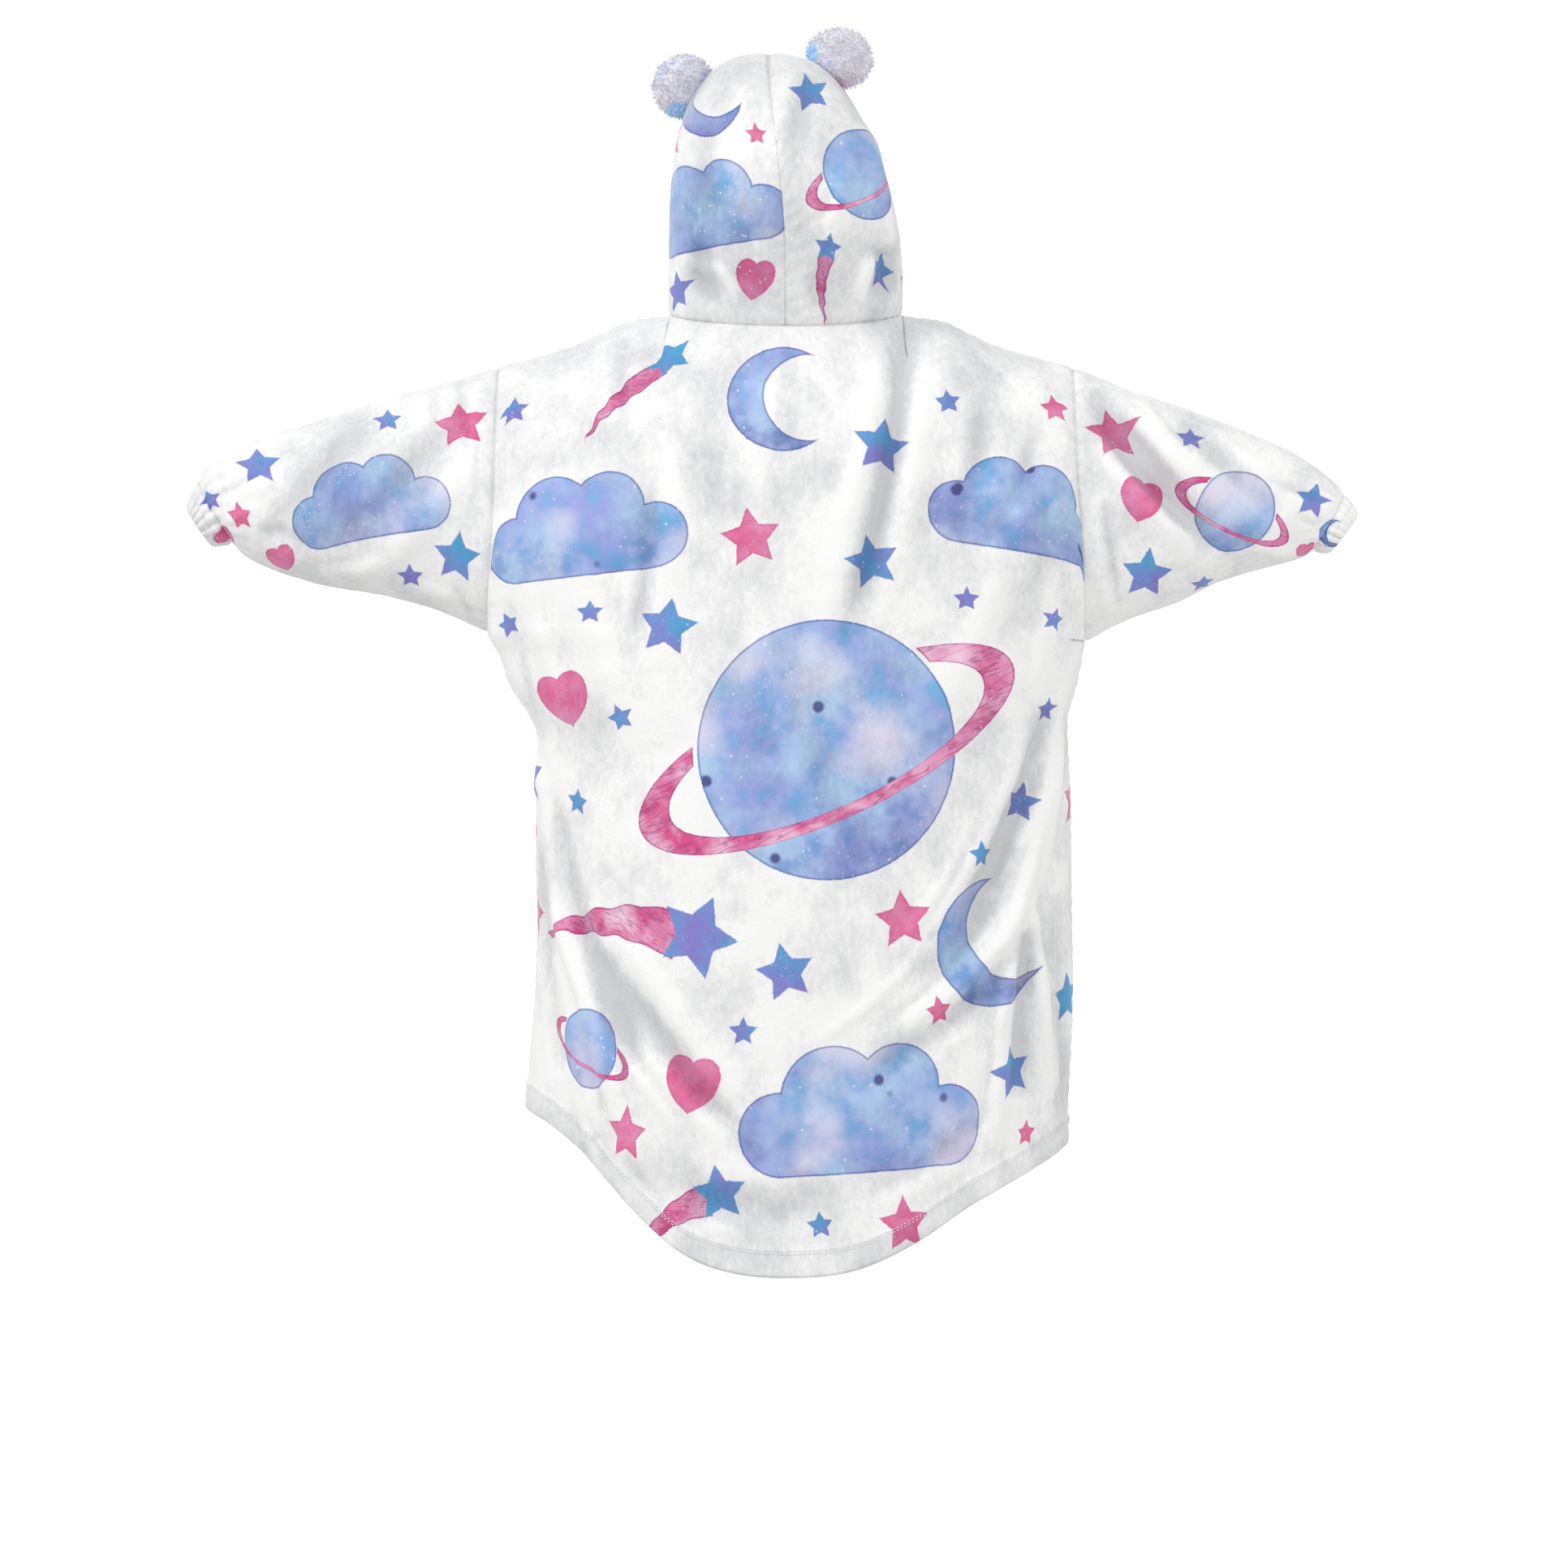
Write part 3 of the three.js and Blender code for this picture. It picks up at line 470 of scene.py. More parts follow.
STAR, HEART, MOON, CLOUD, COMET, PLANET = list(Shape)[1:]
BACK_PRINT = [
    Motif(PLANET, 34, -354, 176, 24, 0.2),
    Motif(COMET, -140, -508, 98, -24, 0.9),
    Motif(CLOUD, -168, -168, 92, 4, 0.3),
    Motif(CLOUD, 196, -150, 84, -6, 0.15),
    Motif(MOON, -2, -66, 48, -18, 0.25),
    Motif(COMET, -124, -44, 56, 20, 0.9),
    Motif(CLOUD, 66, -648, 111, 3, 0.1),
    Motif(MOON, 178, -512, 55, 12, 0.35),
    Motif(PLANET, -190, -602, 54, -20, 0.4),
    Motif(COMET, -92, -738, 66, 8, 0.85),
    Motif(HEART, -188, -318, 27, 12, 0.95),
    Motif(STAR, 204, -398, 18, -14, 0.1),
    Motif(HEART, -78, -628, 26, -8, 0.95),
    Motif(STAR, -28, -182, 27, 8, 0.95),
    Motif(STAR, 78, -104, 26, -6, 0.1),
    Motif(STAR, 70, -200, 25, 14, 0.05),
    Motif(STAR, -96, -254, 27, -10, 0.15),
    Motif(STAR, 96, -492, 26, 6, 0.95),
    Motif(STAR, 0, -534, 26, 12, 0.05),
    Motif(STAR, -34, -582, 13, 0, 0.1),
    Motif(STAR, -146, -668, 25, -6, 0.9),
    Motif(STAR, 203, -618, 24, 16, 0.1),
    Motif(STAR, 100, -738, 25, 5, 0.95),
    Motif(STAR, -250, -388, 24, 10, 0.05),
    Motif(STAR, -276, -500, 23, -12, 0.95),
    Motif(STAR, 276, -400, 24, -8, 0.95),
    Motif(STAR, 274, -560, 23, 8, 0.1),
    Motif(STAR, -240, -250, 13, 20, 0.1),
    Motif(STAR, 226, -244, 13, -14, 0.2),
    Motif(STAR, 148, -228, 12, 0, 0.15),
    Motif(STAR, -160, -240, 12, 0, 0.3),
    Motif(STAR, -136, -330, 13, 20, 0.05),
    Motif(STAR, -184, -402, 12, -8, 0.2),
    Motif(STAR, 228, -322, 12, 5, 0.05),
    Motif(STAR, 164, -440, 12, 5, 0.3),
    Motif(STAR, 128, -566, 13, 12, 0.95),
    Motif(STAR, 230, -60, 14, 5, 0.95),
    Motif(STAR, 134, -54, 13, 5, 0.1),
    Motif(STAR, -232, -62, 14, 5, 0.05),
    Motif(STAR, 28, -738, 12, 5, 0.1),
    Motif(STAR, 222, -668, 12, 0, 0.9),
    Motif(MOON, -334, -320, 44, 10, 0.3),
    Motif(HEART, 330, -480, 26, 10, 0.95),
    Motif(STAR, -324, -560, 24, 0, 0.1),
    Motif(STAR, 322, -330, 24, 0, 0.1),
]
FRONT_PRINT = [
    Motif(PLANET, -30, -330, 130, -22, 0.2),
    Motif(COMET, 150, -460, 92, 24, 0.9),
    Motif(CLOUD, 150, -190, 88, -4, 0.2),
    Motif(CLOUD, -160, -180, 84, 6, 0.3),
    Motif(CLOUD, -90, -560, 100, 2, 0.1),
    Motif(MOON, 60, -620, 52, 12, 0.3),
    Motif(MOON, -200, -420, 48, -10, 0.3),
    Motif(PLANET, 190, -610, 56, 16, 0.3),
    Motif(COMET, -74, -706, 68, 8, 0.9),
    Motif(HEART, 40, -140, 26, 10, 0.95),
    Motif(HEART, 190, -330, 26, -10, 0.9),
    Motif(HEART, -190, -650, 26, 10, 0.95),
    Motif(STAR, -60, -130, 26, 6, 0.1),
    Motif(STAR, 0, -210, 25, -10, 0.95),
    Motif(STAR, 100, -290, 24, 12, 0.05),
    Motif(STAR, -190, -300, 25, -6, 0.95),
    Motif(STAR, 20, -496, 25, 8, 0.1),
    Motif(STAR, 110, -700, 25, -8, 0.95),
    Motif(STAR, -230, -540, 24, 0, 0.1),
    Motif(STAR, 250, -250, 24, 10, 0.1),
    Motif(STAR, 268, -420, 24, 0, 0.95),
    Motif(STAR, 260, -540, 24, 4, 0.1),
    Motif(STAR, -262, -260, 24, 0, 0.1),
    Motif(STAR, 80, -100, 13, 0, 0.1),
    Motif(STAR, -120, -90, 13, 0, 0.9),
    Motif(STAR, 66, -552, 13, 0, 0.9),
    Motif(STAR, 2, -656, 13, 0, 0.1),
    Motif(MOON, 325, -330, 44, 10, 0.3),
    Motif(STAR, -322, -420, 25, 0, 0.95),
    Motif(HEART, -318, -600, 26, 0, 0.95),
]
SLEEVE_PRINT = {
    Hand.LEFT: [
        Motif(CLOUD, -342, -148, 72, 8, 0.2),
        Motif(STAR, -264, -84, 24, 8, 0.95),
        Motif(STAR, -268, -196, 24, -8, 0.1),
        Motif(HEART, -424, -196, 15, 14, 0.95),
        Motif(STAR, -430, -112, 20, 0, 0.1),
        Motif(STAR, -454, -154, 13, 0, 0.95),
        Motif(HEART, -481, -176, 14, 20, 0.95),
        Motif(STAR, -478, -136, 12, 0, 0.1),
        Motif(STAR, -312, -214, 13, 0, 0.05),
        Motif(STAR, -322, -78, 13, 0, 0.05),
        Motif(PLANET, -330, -345, 62, 10, 0.3),
        Motif(STAR, -270, -290, 24, 0, 0.1),
        Motif(COMET, -440, -330, 36, 0, 0.9),
        Motif(STAR, -290, -430, 22, 0, 0.95),
    ],
    Hand.RIGHT: [
        Motif(PLANET, 372, -152, 58, -22, 0.25),
        Motif(STAR, 268, -86, 26, 12, 0.95),
        Motif(STAR, 296, -206, 25, -6, 0.1),
        Motif(HEART, 290, -146, 20, -10, 0.95),
        Motif(STAR, 330, -90, 13, 0, 0.1),
        Motif(STAR, 350, -220, 13, 0, 0.05),
        Motif(STAR, 436, -134, 17, 0, 0.1),
        Motif(HEART, 446, -182, 12, 10, 0.95),
        Motif(MOON, 467, -156, 15, 10, 0.3),
        Motif(CLOUD, 330, -350, 70, -8, 0.2),
        Motif(STAR, 258, -290, 20, 0, 0.95),
        Motif(MOON, 438, -330, 30, 0, 0.3),
        Motif(STAR, 290, -430, 22, 0, 0.1),
    ],
}
HOOD_PRINT = {
    Hand.LEFT: [
        Motif(CLOUD, -66, 88, 74, 6, 0.35),
        Motif(MOON, -56, 178, 34, 24, 0.2),
        Motif(STAR, -104, 150, 21, 8, 0.95),
        Motif(HEART, -26, 28, 18, -8, 0.95),
        Motif(STAR, -100, 24, 18, 8, 0.1),
        Motif(STAR, -16, 146, 10, 0, 0.95),
        Motif(PLANET, -192, 96, 44, 14, 0.3),
        Motif(STAR, -160, 28, 20, 0, 0.1),
    ],
    Hand.RIGHT: [
        Motif(PLANET, 74, 116, 62, 26, 0.25),
        Motif(COMET, 34, 32, 34, 60, 0.95),
        Motif(STAR, 92, 38, 19, -10, 0.1),
        Motif(STAR, 32, 184, 19, 10, 0.1),
        Motif(HEART, 88, 190, 16, -12, 0.95),
        Motif(STAR, 130, 34, 12, 0, 0.95),
        Motif(CLOUD, 196, 134, 48, -4, 0.2),
        Motif(STAR, 172, 60, 19, 0, 0.95),
    ],
}


def rough_field(x: np.ndarray, y: np.ndarray, size: float, seed: int) -> np.ndarray:
    """Makes a smooth random field.

    Args:
        x: Places across the cloth, in millimetres.
        y: Places along the cloth.
        size: The size of its swells, in millimetres.
        seed: The seed of its random numbers.

    Returns:
        Values from about -1 to 1.
    """
    cells = 96
    values = np.random.default_rng(seed).uniform(-1.0, 1.0, (cells, cells))
    gx, gy = x / size + 0.37 * cells, y / size + 0.61 * cells
    ix, iy = np.floor(gx).astype(int), np.floor(gy).astype(int)
    fx, fy = smooth(gx - ix), smooth(gy - iy)

    def corner(dx: int, dy: int) -> np.ndarray:
        """Looks up the random value at one corner of each cell."""
        return values[(ix + dx) % cells, (iy + dy) % cells]

    low = lerp(corner(0, 0), corner(1, 0), fx)
    high = lerp(corner(0, 1), corner(1, 1), fx)
    return lerp(low, high, fy)


@dataclass
class Sheet:
    """One cloth piece as rows of points on its middle surface, in millimetres.

    Args:
        name: The name of its node.
        points: The points, as rows by columns by 3.
        calm: How much a fold may move each point.
        print_x, print_y: Places on the flat cloth, with one more column than points on a tube.
        folds: Its folds.
        motifs: Its print.
        wrap: True for a tube.
        flip: True where rows and columns run clockwise seen from outside.
        seams: Which edges are sewn: start, end, first and last.
        band: How far each point's outside stands out beyond the plain cloth.
        relief: How far the folds and swells lift each point once draped, less the hem band; the material
            paints shade and highlight from it.
        ripple: The height of its small swells.
        seed: The seed of its swells.
    """

    name: str
    points: np.ndarray
    calm: np.ndarray
    print_x: np.ndarray
    print_y: np.ndarray
    folds: list
    motifs: list
    wrap: bool = False
    flip: bool = False
    seams: tuple = ()
    band: np.ndarray = None
    relief: np.ndarray = None
    ripple: float = 0.8
    seed: int = 1

    @property
    def closed_points(self) -> np.ndarray:
        """The points, with the first column again at the end of a tube."""
        return np.concatenate([self.points, self.points[:, :1]], axis=1) if self.wrap else self.points

    def face_normals(self) -> np.ndarray:
        """Works out the unit normal of each cell."""
        a, b, c, d = cell_corners(self.closed_points)
        return unit(np.cross(c - a, d - b) * (-1.0 if self.flip else 1.0))

    def point_normals(self) -> np.ndarray:
        """Sums the normals of the cells round each point."""
        n = self.face_normals()
        total = np.zeros_like(self.points)
        if self.wrap:
            shifted = np.roll(n, 1, axis=1)
            total[:-1] += n + shifted
            total[1:] += n + shifted
        else:
            total[:-1, :-1] += n
            total[:-1, 1:] += n
            total[1:, 1:] += n
            total[1:, :-1] += n
        return total

    def edge_distances(self) -> dict:
        """Measures how far each point is from each sewn edge, and its place along that edge.

        Returns:
            For each sewn edge, a pair of arrays in millimetres.
        """
        down, over = distances(self.points, 0), distances(self.points, 1)
        found = {
            "start": (down, over[:1] + 0 * down),
            "end": (down[-1:] - down, over[-1:] + 0 * down),
            "first": (over, down[:, :1] + 0 * over),
            "last": (over[:, -1:] - over, down[:, -1:] + 0 * over),
        }
        return {edge: found[edge] for edge in self.seams}


@dataclass
class Sewing:
    """All the sheets, with the points that they share along the seams.

    Args:
        sheets: The sheets.
        groove, groove_width: The depth and the width of the dip along a seam, in millimetres.
        pucker, pucker_length, pucker_reach: The height, the length and the reach of the waves beside a seam.
        pucker_start: How far from the seam they have grown to their height.
        pucker_drift, drift_size: How much, and over what length, their spacing varies.
        swell_sizes: The sizes of the large and the small swells.
        squeeze: How much the large ones are drawn out along the cloth.
        fine_share: The height of the small ones, as a share of the large.
        shading: How strongly the swells count in the relief, from which the material paints shade and
            highlight.
    """

    sheets: list
    groove: float = 1.6
    groove_width: float = 7.0
    pucker: float = 0.55
    pucker_length: float = 13.0
    pucker_reach: float = 16.0
    pucker_start: float = 6.0
    pucker_drift: float = 0.4
    drift_size: float = 40.0
    swell_sizes: tuple = (34.0, 15.0)
    squeeze: float = 0.62
    fine_share: float = 0.6
    shading: float = 1.4

    def __post_init__(self) -> None:
        """Finds the shared points."""
        flat = np.concatenate([s.points.reshape(-1, 3) for s in self.sheets])
        _, self.shared = np.unique(np.round(flat * 100).astype(np.int64), axis=0, return_inverse=True)
        self.shared = self.shared.reshape(-1)

    def normals(self) -> list:
        """Works out the unit normals, the same on every sheet that shares a point."""
        flat = np.concatenate([s.point_normals().reshape(-1, 3) for s in self.sheets])
        sums = np.zeros((self.shared.max() + 1, 3))
        np.add.at(sums, self.shared, flat)
        ends = np.cumsum([s.points.size // 3 for s in self.sheets])[:-1]
        parts = np.split(unit(sums[self.shared]), ends)
        return [part.reshape(s.points.shape) for part, s in zip(parts, self.sheets)]

    def drape(self) -> None:
        """Moves the points by the folds, the small swells and the pull of the seams."""
        large, small = self.swell_sizes
        for s, n in zip(self.sheets, self.normals()):
            x, z = s.points[..., 0], s.points[..., 2]
            folded = s.calm * sum((f.lift(x, z) for f in s.folds), np.zeros(x.shape))
            px, py = s.print_x[:, : x.shape[1]], s.print_y[:, : x.shape[1]]
            swell = rough_field(px, py * self.squeeze, large, s.seed)
            swell = swell + self.fine_share * rough_field(px, py, small, s.seed + 7)
            swell = s.calm * s.ripple * swell
            # The relief that the material paints shade and highlight from: folds and swells.
            s.relief = folded + self.shading * swell
            # The hem band counts as a dip in it, so the material paints shade on the band.
            if s.band is not None:
                s.relief = s.relief - s.band
            lift = folded + swell
            for distance, along in s.edge_distances().values():
                lift = lift - self.groove * (1.0 - smooth(distance / self.groove_width))
                drift = self.pucker_drift * rough_field(along, along, self.drift_size, s.seed)
                wave = np.sin(2 * np.pi * (along / self.pucker_length + drift))
                reach = smooth(distance / self.pucker_start) * np.exp(-distance / self.pucker_reach)
                lift = lift + self.pucker * wave * reach
            s.points = s.points + n * lift[..., None]


@dataclass(frozen=True)
class Cut:
    """How the top is cut: the rules that every panel is laid out by, in millimetres.

    Args:
        cloth: The thickness of the cloth.
        hem_band: The height of the turned hem.
        hem_raise, hem_sink: How far it stands out, and the share by which it sinks towards its stitches.
        edge_width: The width of the step where a turned edge ends.
        neck_half, neck_side_z: Half the width of the neckline, and its height at the sides.
        neck_round, neck_dip: How round it runs from above and from behind.
        neck_share: Its share of a panel's width.
        square: How square the section of the body is.
        shoulder_sharpness: How sharply the cloth turns down at a shoulder.
        shoulder_drop, neck_drop, fan_drop: Over what drop it takes the body's depth and width.
        side_calm, top_calm: How far folds keep from the sides, as a share, and from the top.
        arm_x: How far the shoulder seams reach.
        armhole_top, armhole_depth: The height of an armhole's top, and half its depth.
        underarms: The heights of the right and the left underarm.
        underarm_ease, underarm_edge: Over what height and share of the width a panel rounds off there.
        ease_steps: The number of heights that are averaged for it.
        hem_sides: The height at which the hem meets the side seams.
        neck_columns: Cells across half of the neckline, from side to side.
        shoulder_columns: Cells along one shoulder seam.
        armhole_rows: Cells from the top of an armhole to the underarm.
        skirt_rows: Cells from the underarm to the stitches of the hem.
        band_rows: Cells down the hem.
    """

    cloth: float = 3.0
    hem_band: float = 23.0
    hem_raise: float = 1.6
    hem_sink: float = 0.35
    edge_width: float = 3.0
    neck_half: float = 95.0
    neck_side_z: float = 6.0
    neck_round: float = 0.9
    neck_dip: float = 1.6
    neck_share: float = 0.6
    square: float = 0.8
    shoulder_sharpness: float = 0.5
    shoulder_drop: float = 110.0
    neck_drop: float = 105.0
    fan_drop: float = 170.0
    side_calm: float = 0.1
    top_calm: float = 45.0
    arm_x: float = 238.0
    armhole_top: float = -37.0
    armhole_depth: float = 62.0
    underarm_ease: float = 20.0
    underarm_edge: float = 0.04
    underarms: tuple = (-263.0, -255.0)
    ease_steps: int = 9
    hem_sides: float = -674.0
    neck_columns: int = 114
    shoulder_columns: int = 38
    armhole_rows: int = 68
    skirt_rows: int = 128
    band_rows: int = 10

    @property
    def columns(self) -> int:
        """Cells across a body panel."""
        return self.neck_columns + 2 * self.shoulder_columns

    def across(self) -> np.ndarray:
        """Shares of a panel's width, from -1 on the right to 1 on the left."""
        share = self.neck_share
        right = np.linspace(-1, -share, self.shoulder_columns + 1)[:-1]
        left = np.linspace(share, 1, self.shoulder_columns + 1)[1:]
        return np.concatenate([right, np.linspace(-share, share, self.neck_columns + 1), left])

    def top_edge(self, u: np.ndarray, side: Side) -> tuple:
        """Places the top edge of a body panel: neckline and shoulder seams.

        Args:
            u: Shares of the panel's width.
            side: Which panel.

        Returns:
            The x, y and z of each point.
        """
        share = self.neck_share
        out = np.abs(u)
        angle = np.clip(out / share, 0, 1) * np.pi / 2
        reach = np.where(out < share - 1e-9, np.maximum(np.cos(angle), 0) ** self.neck_round, 0.0)
        depth, height = NECK_EDGES[side]
        arm_x = lerp(self.neck_half, self.arm_x, (out - share) / (1 - share))
        in_neck = out <= share + 1e-9
        x = np.sign(u) * np.where(in_neck, self.neck_half * np.sin(angle), arm_x)
        z = np.where(in_neck, lerp(self.neck_side_z, height, reach**self.neck_dip), SHOULDER.read("z", arm_x))
        return x, depth * reach, z

    def side_turn(self, z: np.ndarray, underarm: np.ndarray, depth: np.ndarray) -> np.ndarray:
        """Gives the angle round the section where a panel ends: a quarter turn, and less at an armhole.

        Args:
            z: The heights.
            underarm: The height of the underarm.
            depth: The depth of the section at each height.

        Returns:
            The angle at each height, in radians.
        """
        half = (self.armhole_top - underarm) / 2
        level = np.clip((underarm + half - z) / half, 0, 1)
        edge = np.where(z > underarm, self.armhole_depth * np.sqrt(1 - level**2) / depth, 0.0)
        return np.arccos(edge ** (1 / self.square))

    def panel(self, side: Side) -> Sheet:
        """Lays out the back or the front.

        Args:
            side: Which panel.

        Returns:
            The sheet, without its folds.
        """
        u = self.across()[None, :]
        top_x, top_y, top_z = self.top_edge(u, side)
        underarm = lerp(*self.underarms, (u + 1) / 2)
        facing, sides = side.name.lower(), np.array(self.hem_sides)
        hem_reach = np.where(u > 0, TRUNK.read("left", sides), TRUNK.read("right", sides))
        hem = HEM.read(facing, hem_reach * np.sin(u * np.pi / 2))
        arm_t = np.linspace(0, 1, self.armhole_rows + 1)[:, None]
        skirt_t = np.linspace(0, 1, self.skirt_rows + 1)[1:, None]
        band_t = np.linspace(0, 1, self.band_rows + 1)[1:, None]
        z = np.concatenate(
            [
                lerp(top_z, underarm, (1 - np.cos(np.pi * arm_t)) / 2),
                lerp(underarm, hem + self.hem_band, skirt_t),
                lerp(hem + self.hem_band, hem, band_t),
            ]
        )
        u = np.broadcast_to(u, z.shape)
        reach = np.where(u > 0, TRUNK.read("left", z), TRUNK.read("right", z))
        depth = TRUNK.read(facing, z)
        turn = self.side_turn(z, underarm, depth)
        steps = np.linspace(-self.underarm_ease, self.underarm_ease, self.ease_steps)
        eased = sum(self.side_turn(z + step, underarm, depth) for step in steps) / len(steps)
        turn = lerp(turn, eased, smooth((1 - np.abs(u)) / self.underarm_edge))
        a = np.abs(u) * turn
        x = np.sign(u) * reach * np.sin(a) / np.sin(turn)
        y = side.value * depth * np.maximum(np.cos(a), 0) ** self.square
        near_neck = 1 - np.clip(np.abs(u) / self.neck_share, 0, 1) ** 2
        drop = lerp(self.shoulder_drop, self.neck_drop, near_neck)
        below = top_z - z
        rounded = (1 - (1 - np.clip(below / drop, 0, 1)) ** 2) ** lerp(self.shoulder_sharpness, 1, near_neck)
        y = lerp(top_y, y, rounded)
        x = lerp(top_x, x, smooth(below / self.fan_drop))
        y[self.armhole_rows :, [0, -1]] = 0.0
        calm = smooth((1 - np.abs(u)) / self.side_calm) * smooth(below / self.top_calm)
        points = np.stack([x, y, z], axis=2)
        over, down = distances(points, 1), distances(points, 0)
        over -= over[:, self.columns // 2 : self.columns // 2 + 1]
        height = z[self.armhole_rows] + down[self.armhole_rows] - down
        above = np.clip((z - hem) / self.hem_band, 0, 2)
        rise = smooth((1 - above) * self.hem_band / self.edge_width)
        band = self.hem_raise * rise * (1 - self.hem_sink * smooth((above - 0.1) / 0.6))
        back = side is Side.BACK
        return Sheet(
            name=f"{facing}_panel",
            points=points,
            calm=calm,
            print_x=-side.value * over,
            print_y=height,
            folds=BACK_FOLDS + BACK_CREASES if back else FRONT_FOLDS + FRONT_CREASES,
            motifs=BACK_PRINT if back else FRONT_PRINT,
            flip=not back,
            seams=("start", "first", "last"),
            band=band,
            ripple=0.9,
            seed=11 if back else 23,
        )

    def join_sides(self, back: Sheet, front: Sheet) -> None:
        """Gives the two panels the same points along the armholes and the side seams.

        Args:
            back: The back panel.
            front: The front panel.
        """
        for column in (0, -1):
            rows = self.armhole_rows
            back.points[1:rows, column] = front.points[1:rows, column] * np.array([1.0, -1.0, 1.0])
            front.points[rows:, column] = back.points[rows:, column]
            front.points[0, column] = back.points[0, column]

    def armhole(self, back: Sheet, front: Sheet, hand: Hand) -> np.ndarray:
        """Collects the loop of an armhole: down its back edge and up its front edge."""
        column = -1 if hand is Hand.LEFT else 0
        down = back.points[: self.armhole_rows + 1, column]
        up = front.points[1 : self.armhole_rows, column]
        return np.concatenate([down, up[::-1]])

    def fitted_ring(self, loop: np.ndarray, ring: dict, hand: Hand) -> np.ndarray:
        """Fits the armhole's loop between an upper and a lower point.

        Args:
            loop: The points of the armhole.
            ring: The sizes of the ring.
            hand: Which sleeve.

        Returns:
            The points of the ring.
        """
        top, low = loop[0], loop[self.armhole_rows]
        up = (loop[:, 2] - low[2]) / (top[2] - low[2])
        x = hand.value * lerp(ring["low_x"], ring["up_x"], up)
        y = loop[:, 1] / self.armhole_depth * ring["depth"]
        return np.stack([x, y, lerp(ring["low_z"], ring["up_z"], up)], axis=1)


@dataclass(frozen=True)
class SleeveCut:
    """A sleeve and its gathered cuff, in millimetres.

    Args:
        cut: The rules of the whole top.
        hand: Which sleeve.
        rows: Cells from the armhole to the cuff.
        cuff_rows: Cells across the cuff.
        puff: How far the cuff swells in its middle.
        gathers: The number of gathers round the cuff.
        gather_depth: Their height.
        gather_reach: How far up the sleeve they run out, as a share of its length.
        calm_in, calm_out: How far folds keep from the armhole and the cuff, as shares of its length.
        print_z: The height of the sleeve's middle line on the flat cloth.
    """

    cut: Cut
    hand: Hand
    rows: int = 84
    cuff_rows: int = 14
    puff: float = 2.5
    gathers: int = 21
    gather_depth: float = 1.0
    gather_reach: float = 0.14
    calm_in: float = 0.12
    calm_out: float = 0.06
    print_z: float = -145.0

    def ring(self, s: float) -> dict:
        """Reads the sizes of the ring at a share of the sleeve's length."""
        return {c: float(SLEEVES[self.hand].read(c, np.array(float(s)))) for c in RING_COLUMNS[1:]}

    def gather(self, ring: np.ndarray, strength: float) -> np.ndarray:
        """Pushes a ring's points in and out.

        Args:
            ring: The points of the ring.
            strength: The share of the full height.

        Returns:
            The moved points.
        """
        around = np.arange(len(ring)) / len(ring)
        uneven = 0.35 * rough_field(around * 400, 0 * around, 60.0, 31 + self.hand.value)
        wave = np.cos(2 * np.pi * (self.gathers * around + uneven))
        size = 1.0 + 0.45 * rough_field(around * 300, 0 * around + 9, 30.0, 47 + self.hand.value)
        out = unit(ring - ring.mean(axis=0))
        return ring + out * (self.gather_depth * strength * size * wave)[:, None]

    def sheets(self, back: Sheet, front: Sheet) -> list:
        """Lays out the sleeve and its cuff.

        Args:
            back: The back panel.
            front: The front panel.

        Returns:
            The two sheets.
        """
        loop = self.cut.armhole(back, front, self.hand)
        rows = [loop]
        for i in range(1, self.rows + 1):
            s = i / self.rows
            strength = float(smooth(np.array((s - 1 + self.gather_reach) / self.gather_reach)))
            rows.append(self.gather(self.cut.fitted_ring(loop, self.ring(s), self.hand), 0.8 * strength))
        start, end = self.ring(1.0), dict(zip(RING_COLUMNS[1:], CUFF_ENDS[self.hand]))
        cuff_rows = [rows[-1]]
        for i in range(1, self.cuff_rows + 1):
            t = i / self.cuff_rows
            ring = {c: lerp(start[c], end[c], t) for c in start}
            swell = self.puff * math.sin(math.pi * t) - 1.2 * (smooth(np.array(1 - abs(t - 0.5) * 5)))
            ring["depth"] += swell
            ring["up_z"] += 0.5 * swell
            ring["low_z"] -= 0.5 * swell
            cuff_rows.append(self.gather(self.cut.fitted_ring(loop, ring, self.hand), 1.0))
        name = self.hand.name.lower()
        calm = smooth(np.linspace(0, 1, self.rows + 1) / self.calm_in)
        calm = calm * smooth(np.linspace(1, 0, self.rows + 1) / self.calm_out)
        made, begin = [], self.cut.arm_x
        for label, grid, ease in (("sleeve", rows, calm), ("cuff", cuff_rows, np.zeros(len(cuff_rows)))):
            points, sleeve = np.stack(grid), label == "sleeve"
            around = distances(np.concatenate([points, points[:, :1]], axis=1), 1)
            quarter = points.shape[1] // 4
            along = np.linalg.norm(np.diff(points, axis=0), axis=2).mean(axis=1)
            along = np.concatenate([[0.0], np.cumsum(along)]) + begin
            begin = float(along[-1])
            made.append(
                Sheet(
                    name=f"{label}_{name}",
                    points=points,
                    calm=np.broadcast_to(ease[:, None], points.shape[:2]).copy(),
                    print_x=-self.hand.value * np.broadcast_to(along[:, None], around.shape),
                    print_y=self.print_z - (around - around[:, quarter : quarter + 1]),
                    folds=SLEEVE_FOLDS[self.hand] if sleeve else [],
                    motifs=SLEEVE_PRINT[self.hand],
                    wrap=True,
                    flip=self.hand is Hand.LEFT,
                    seams=("start", "end") if sleeve else ("start",),
                    ripple=0.8 if sleeve else 0.0,
                    seed=37 + self.hand.value,
                )
            )
        return made


